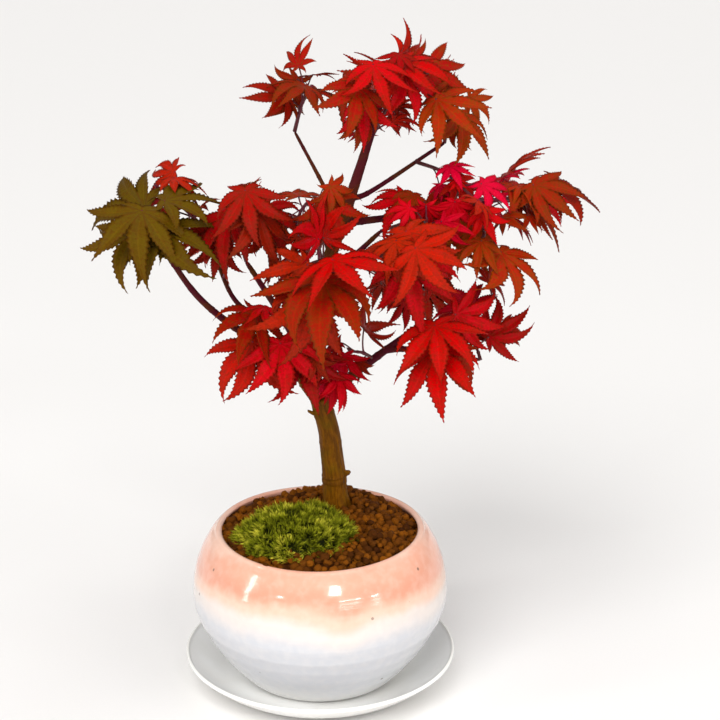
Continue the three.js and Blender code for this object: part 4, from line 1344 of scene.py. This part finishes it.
def spike():
    """A slim three-sided leaflet of length 1 along Z, widest a little below its middle."""
    bm = bmesh.new()
    bmesh.ops.create_cone(bm, cap_ends=True, segments=3, radius1=LEAFLET["girth"], radius2=0, depth=1,
                          matrix=Matrix.Translation((0, 0, 0.5)))
    bmesh.ops.remove_doubles(bm, verts=bm.verts, dist=1e-4)
    cut = bmesh.ops.bisect_plane(bm, geom=[*bm.verts, *bm.edges, *bm.faces],
                                 plane_co=(0, 0, LEAFLET["widest"]), plane_no=(0, 0, 1))
    ring = [item for item in cut["geom_cut"] if isinstance(item, bmesh.types.BMVert)]
    bmesh.ops.scale(bm, vec=(LEAFLET["swell"], LEAFLET["swell"], 1), verts=ring)
    bmesh.ops.scale(bm, vec=(1, LEAFLET["thin"], 1), verts=bm.verts)
    return shape_of(bm)


def moss_cushion():
    """The clump under the shoots, a lumpy mound of one dark tone: the moss's deep green with painted
    shade in the gaps between shoots.
    """
    bm = bmesh.new()
    bmesh.ops.create_icosphere(bm, subdivisions=5, radius=1)
    for v in bm.verts:
        place, _ = moss_point(math.atan2(v.co.y, v.co.x), math.asin(max(-1, min(1, v.co.z))))
        place[2] = max(place[2], SOIL["edge"] + 2)
        v.co = Vector(place) * MM
    mesh = mesh_from("moss_cushion", bm)
    # the darkest tone: painted shade where the shoots leave gaps
    values = np.full(len(mesh.vertices), 0.05, np.float32)
    mesh.attributes.new("tone", "FLOAT", "POINT").data.foreach_set("value", values)
    return mesh


def shoot_copies(co, seed):
    """One shoot: leaflets set round a leaning stem, more upright towards its tip, and their tones."""
    u, v = seed.draw(0, math.tau), math.asin(seed.draw(0.12, 1))
    place, normal = moss_point(u, v)
    lean = unit(normal + np.array([seed.draw(-0.8, 0.8), seed.draw(-0.8, 0.8), seed.draw(-0.2, 0.5)]))
    flat, wide = beside(lean)
    bright, rise = seed.draw(0, 1), seed.draw(1.0, 3.2)
    copies, tones = [], []
    for leaflet in range(SHOOT_LEAFLETS):
        share = leaflet / (SHOOT_LEAFLETS - 1)
        turn = leaflet * LEAFLET_TURN + seed.draw(-0.3, 0.3)
        opened = math.radians(LEAFLET_OPEN[0] - LEAFLET_OPEN[1] * share + seed.draw(-8, 8))
        aside = flat * math.cos(turn) + wide * math.sin(turn)
        way = unit(lean * math.cos(opened) + aside * math.sin(opened))
        across = unit(np.cross(way, aside + lean * 0.01))
        length = seed.draw(*LEAFLET["length"]) * (1 - 0.2 * share)
        bend = co[:, 2:3] ** 2 * 0.35 * (lean - way)
        sides = co[:, 0:1] * across + co[:, 1:2] * np.cross(way, across)
        copies.append(place + lean * rise * share + length * (sides + co[:, 2:3] * way + bend))
        # tones fall towards each shoot's foot and each leaflet's base: the moss's deeper green below, and
        # painted shade in the depth of the clump
        tones.append(0.05 + 0.5 * bright * (0.4 + 0.6 * share) + seed.draw(0.15, 0.5) * co[:, 2])
    return copies, tones


def make_moss(settings):
    """A dark cushion of deep green and painted shade, and the shoots that cover it."""
    material = moss_material(settings)
    finish_piece(add_object("moss_cushion", moss_cushion(), material), "moss", "moss")
    seed, copies, tones = Seed(MOSS_SEED), [], []
    co, faces = spike()
    for _ in range(settings.shoots):
        leaflets, shades = shoot_copies(co, seed)
        copies += leaflets
        tones += shades
    mesh = joined_mesh("moss_shoots", faces, np.array(copies) * MM, {"tone": np.array(tones)})
    finish_piece(add_object("moss_shoots", mesh, material), "moss")


# ---- stage
# Camera: place in millimetres, azimuth and elevation that it looks towards, lens and sensor.
CAMERA = {"place": (0, -897.6, 485.7), "azimuth": 88.79, "elevation": -19.88, "lens": 104.69,
          "sensor": 36}
AIM = 0.1  # height that the lamps look at, in metres
LAMP_BASE = 0.068  # height that their places are measured from
# Studio lamps: shape, azimuth and elevation seen from the pot, distance, width, height, power in watts.
LAMPS = {
    "window_left": ("RECTANGLE", -159, 21, 1.15, 0.10, 0.50, 1.8),
    "window_near": ("ELLIPSE", -127, 23, 1.20, 0.08, 0.08, 0.7),
    "window_high": ("ELLIPSE", -75, 34, 1.20, 0.22, 0.13, 1.5),
    "window_low": ("RECTANGLE", -63, 18, 1.25, 0.40, 0.045, 1.2),
    "window_right": ("ELLIPSE", -40, 15, 1.25, 0.14, 0.05, 0.7),
}
# Far, wide lights: azimuth and elevation, and strength as a share of the key light's.
SOFTBOXES = {"softbox_key": ((-112, 48), 1), "softbox_fill": ((-35, 30), 0.28),
             "softbox_top": ((20, 62), 0.22)}
SOFTBOX_ANGLE = math.radians(38)


def place_in_scene(name, data, place, ahead):
    """A lamp or camera at a place, looking ahead with its Y side up."""
    holder = bpy.data.objects.new(name, data)
    holder.location = place
    holder.rotation_mode = "QUATERNION"
    holder.rotation_quaternion = ahead.to_track_quat("-Z", "Y")
    bpy.context.scene.collection.objects.link(holder)
    return holder


def softbox(name, seen_from, strength):
    """A far, wide and soft light that leaves no mirror image of itself on the glaze."""
    light = bpy.data.lights.new(name, "SUN")
    light.energy, light.angle = strength, SOFTBOX_ANGLE
    holder = place_in_scene(name, light, (0, 0, 0), -Vector(direction(*seen_from)))
    holder.visible_glossy = False


def lamp(name, shape, azimuth, elevation, distance, width, height, power):
    """A small light that shows as a window in the glaze."""
    light = bpy.data.lights.new(name, "AREA")
    light.shape, light.size, light.size_y, light.energy = shape, width, height, power
    place = Vector(direction(azimuth, elevation)) * distance + Vector((0, 0, LAMP_BASE))
    place_in_scene(name, light, place, Vector((0, 0, AIM)) - place)


def light_air(strength):
    """Even white light from all round."""
    world = bpy.data.worlds.new("studio_air")
    bpy.context.scene.world = world
    world.use_nodes = True
    background = world.node_tree.nodes["Background"]
    background.inputs["Color"].default_value = (*linear("#ffffff"), 1)
    background.inputs["Strength"].default_value = strength


def place_camera():
    """The camera, in front of the tree and looking down on it a little."""
    camera = bpy.data.cameras.new("camera")
    camera.lens, camera.sensor_width = CAMERA["lens"], CAMERA["sensor"]
    camera.clip_start, camera.clip_end = 0.01, 20
    ahead = Vector(direction(CAMERA["azimuth"], CAMERA["elevation"]))
    holder = place_in_scene("camera", camera, Vector(CAMERA["place"]) * MM, ahead)
    bpy.context.scene.camera = holder


def make_stage(settings):
    """The floor, the lamps, the air and the camera."""
    bm = bmesh.new()
    bmesh.ops.create_circle(bm, cap_ends=True, radius=6, segments=64)
    floor = add_object("studio_floor", mesh_from("studio_floor", bm), paper_material(settings))
    floor.location.z = -0.0002  # just under the saucer's foot
    for name, values in LAMPS.items():
        lamp(name, *values)
    for name, (seen_from, share) in SOFTBOXES.items():
        softbox(name, seen_from, settings.key * share)
    light_air(settings.air)
    place_camera()
    view = bpy.context.scene.view_settings
    view.view_transform = "Standard"
    view.look = "None"


# ---- settings
def colour_property(name, description, code):
    """A colour that starts from an sRGB hex code."""
    return FloatVectorProperty(name=name, description=description, subtype="COLOR", size=3, min=0, max=1,
                               default=linear(code))


def tint_colours():
    """A colour for the heart and one for the tips of each tint."""
    colours = {}
    for tint, (heart, tip) in TINTS.items():
        name = tint.capitalize()
        colours[tint] = colour_property(name, f"Heart of the {tint} leaves", heart)
        colours[tint + "_tip"] = colour_property(name + " tips", f"Tips of the {tint} leaves", tip)
    return colours


class MapleLeafSettings(bpy.types.PropertyGroup):
    """Leaves, stalks and leafy twigs"""

    young: IntProperty(name="Young leaves", description="Young leaves tried on each stem", default=5,
                       min=0, max=12)
    # the shoots' plum and its painted shade, which the twigs mix in random patches
    shoot: colour_property("Shoots", "Sunny side of the young shoots", "#640c26")
    shoot_shade: colour_property("Shaded shoots", "Shaded side of the young shoots", "#4a1a16")


MapleLeafSettings.__annotations__.update(tint_colours())


class MapleWoodSettings(bpy.types.PropertyGroup):
    """Trunk and boughs"""

    detail: FloatProperty(name="Detail", description="Size of the bark's mesh", default=0.42 * MM,
                          min=0.3 * MM, max=2 * MM, unit="LENGTH", precision=5)
    relief: FloatProperty(name="Relief", description="Depth of the bark's streaks", default=0.22 * MM,
                          min=0, max=1 * MM, unit="LENGTH", precision=5)
    bark_dark: colour_property("Dark bark", "Bark in its streaks", "#563204")
    bark_light: colour_property("Light bark", "Bark between its streaks", "#7a4a04")
    bark_moss: colour_property("Greenish bark", "Algae on the bark", "#604804")
    shoot: colour_property("Thin boughs", "Bark of the thin boughs", "#4e0f1e")


class MaplePotSettings(bpy.types.PropertyGroup):
    """Pot and saucer"""

    rings: FloatProperty(name="Finger rings", description="Depth of the throwing rings",
                         default=0.09 * MM, min=0, max=1 * MM, unit="LENGTH", precision=5)
    rim: colour_property("Rim", "Glaze at the rim", "#ecc0aa")
    salmon: colour_property("Salmon", "Glaze of the shoulder", "#e09b80")
    cream: colour_property("Cream", "Glaze below the shoulder", "#e0d4cd")
    white: colour_property("White", "Glaze of the belly", "#c9cacf")
    saucer: colour_property("Saucer", "Glaze of the saucer", "#fafaf8")


class MapleGroundSettings(bpy.types.PropertyGroup):
    """Soil and moss"""

    grain: FloatProperty(name="Grain", description="Width of a soil grain", default=4.2 * MM, min=2 * MM,
                         max=9 * MM, unit="LENGTH", precision=4)
    soil_dark: colour_property("Dark soil", "Darkest grains", "#3c1c04")
    soil_light: colour_property("Light soil", "Lightest grains", "#824808")
    shoots: IntProperty(name="Moss shoots", description="Shoots of the clump", default=900, min=50,
                        max=3000)
    # the moss's deep green below its points, darkened into painted shade between the shoots
    moss_depth_and_shade: colour_property("Deep moss", "Moss between its shoots", "#181c02")
    moss_light: colour_property("Fresh moss", "Points of the shoots", "#e4d848")


class MapleStageSettings(bpy.types.PropertyGroup):
    """Floor and lamps"""

    floor: colour_property("Floor", "Studio floor", "#eceae8")
    key: FloatProperty(name="Key light", description="Strength of the key light", default=2.12,
                       min=0, max=50)
    air: FloatProperty(name="Air", description="Strength of the light from all round", default=0.38,
                       min=0, max=5)


# ---- operators
class MAPLE_OT_stage(bpy.types.Operator):
    """Lay the floor, hang the lamps and place the camera"""

    bl_idname = "maple.stage"
    bl_label = "Stage"

    def execute(self, context):
        make_stage(context.scene.maple_stage)
        return {"FINISHED"}


class MAPLE_OT_pot(bpy.types.Operator):
    """Turn the glazed pot"""

    bl_idname = "maple.pot"
    bl_label = "Pot"

    def execute(self, context):
        make_pot(context.scene.maple_pot)
        return {"FINISHED"}


class MAPLE_OT_saucer(bpy.types.Operator):
    """Turn the glazed saucer"""

    bl_idname = "maple.saucer"
    bl_label = "Saucer"

    def execute(self, context):
        make_saucer(context.scene.maple_pot)
        return {"FINISHED"}


class MAPLE_OT_soil(bpy.types.Operator):
    """Lay the soil grains in the pot"""

    bl_idname = "maple.soil"
    bl_label = "Soil"

    def execute(self, context):
        make_soil(context.scene.maple_ground)
        return {"FINISHED"}


class MAPLE_OT_moss(bpy.types.Operator):
    """Grow the moss clump"""

    bl_idname = "maple.moss"
    bl_label = "Moss"

    def execute(self, context):
        make_moss(context.scene.maple_ground)
        return {"FINISHED"}


class MAPLE_OT_wood(bpy.types.Operator):
    """Grow the trunk and the boughs"""

    bl_idname = "maple.wood"
    bl_label = "Trunk and boughs"

    def execute(self, context):
        make_wood(context.scene.maple_wood)
        return {"FINISHED"}


class MAPLE_OT_foliage(bpy.types.Operator):
    """Grow the leaves with their stalks and twigs"""

    bl_idname = "maple.foliage"
    bl_label = "Foliage"

    def execute(self, context):
        make_foliage(context.scene.maple_leaves)
        return {"FINISHED"}


OPERATORS = (MAPLE_OT_stage, MAPLE_OT_saucer, MAPLE_OT_pot, MAPLE_OT_soil, MAPLE_OT_moss, MAPLE_OT_wood,
             MAPLE_OT_foliage)
SETTINGS = {
    "maple_leaves": MapleLeafSettings,
    "maple_wood": MapleWoodSettings,
    "maple_pot": MaplePotSettings,
    "maple_ground": MapleGroundSettings,
    "maple_stage": MapleStageSettings,
}


class MAPLE_PT_panel(bpy.types.Panel):
    """The maple's pieces, one button each"""

    bl_idname = "MAPLE_PT_panel"
    bl_label = "Potted maple"
    bl_space_type = "VIEW_3D"
    bl_region_type = "UI"
    bl_category = "Maple"

    def draw(self, context):
        for operator in OPERATORS:
            self.layout.operator(operator.bl_idname)
        for name, group in SETTINGS.items():
            box = self.layout.box()
            box.label(text=group.__doc__)
            for key in group.__annotations__:
                box.prop(getattr(context.scene, name), key)


def register():
    for item in (*SETTINGS.values(), *OPERATORS, MAPLE_PT_panel):
        bpy.utils.register_class(item)
    for name, group in SETTINGS.items():
        setattr(bpy.types.Scene, name, PointerProperty(type=group))


def unregister():
    for name in SETTINGS:
        delattr(bpy.types.Scene, name)
    for item in (MAPLE_PT_panel, *reversed(OPERATORS), *reversed(list(SETTINGS.values()))):
        bpy.utils.unregister_class(item)


def main():
    register()
    bpy.ops.maple.stage()
    bpy.ops.maple.saucer()
    bpy.ops.maple.pot()
    bpy.ops.maple.soil()
    bpy.ops.maple.moss()
    bpy.ops.maple.wood()
    bpy.ops.maple.foliage()


if __name__ == "__main__":
    main()
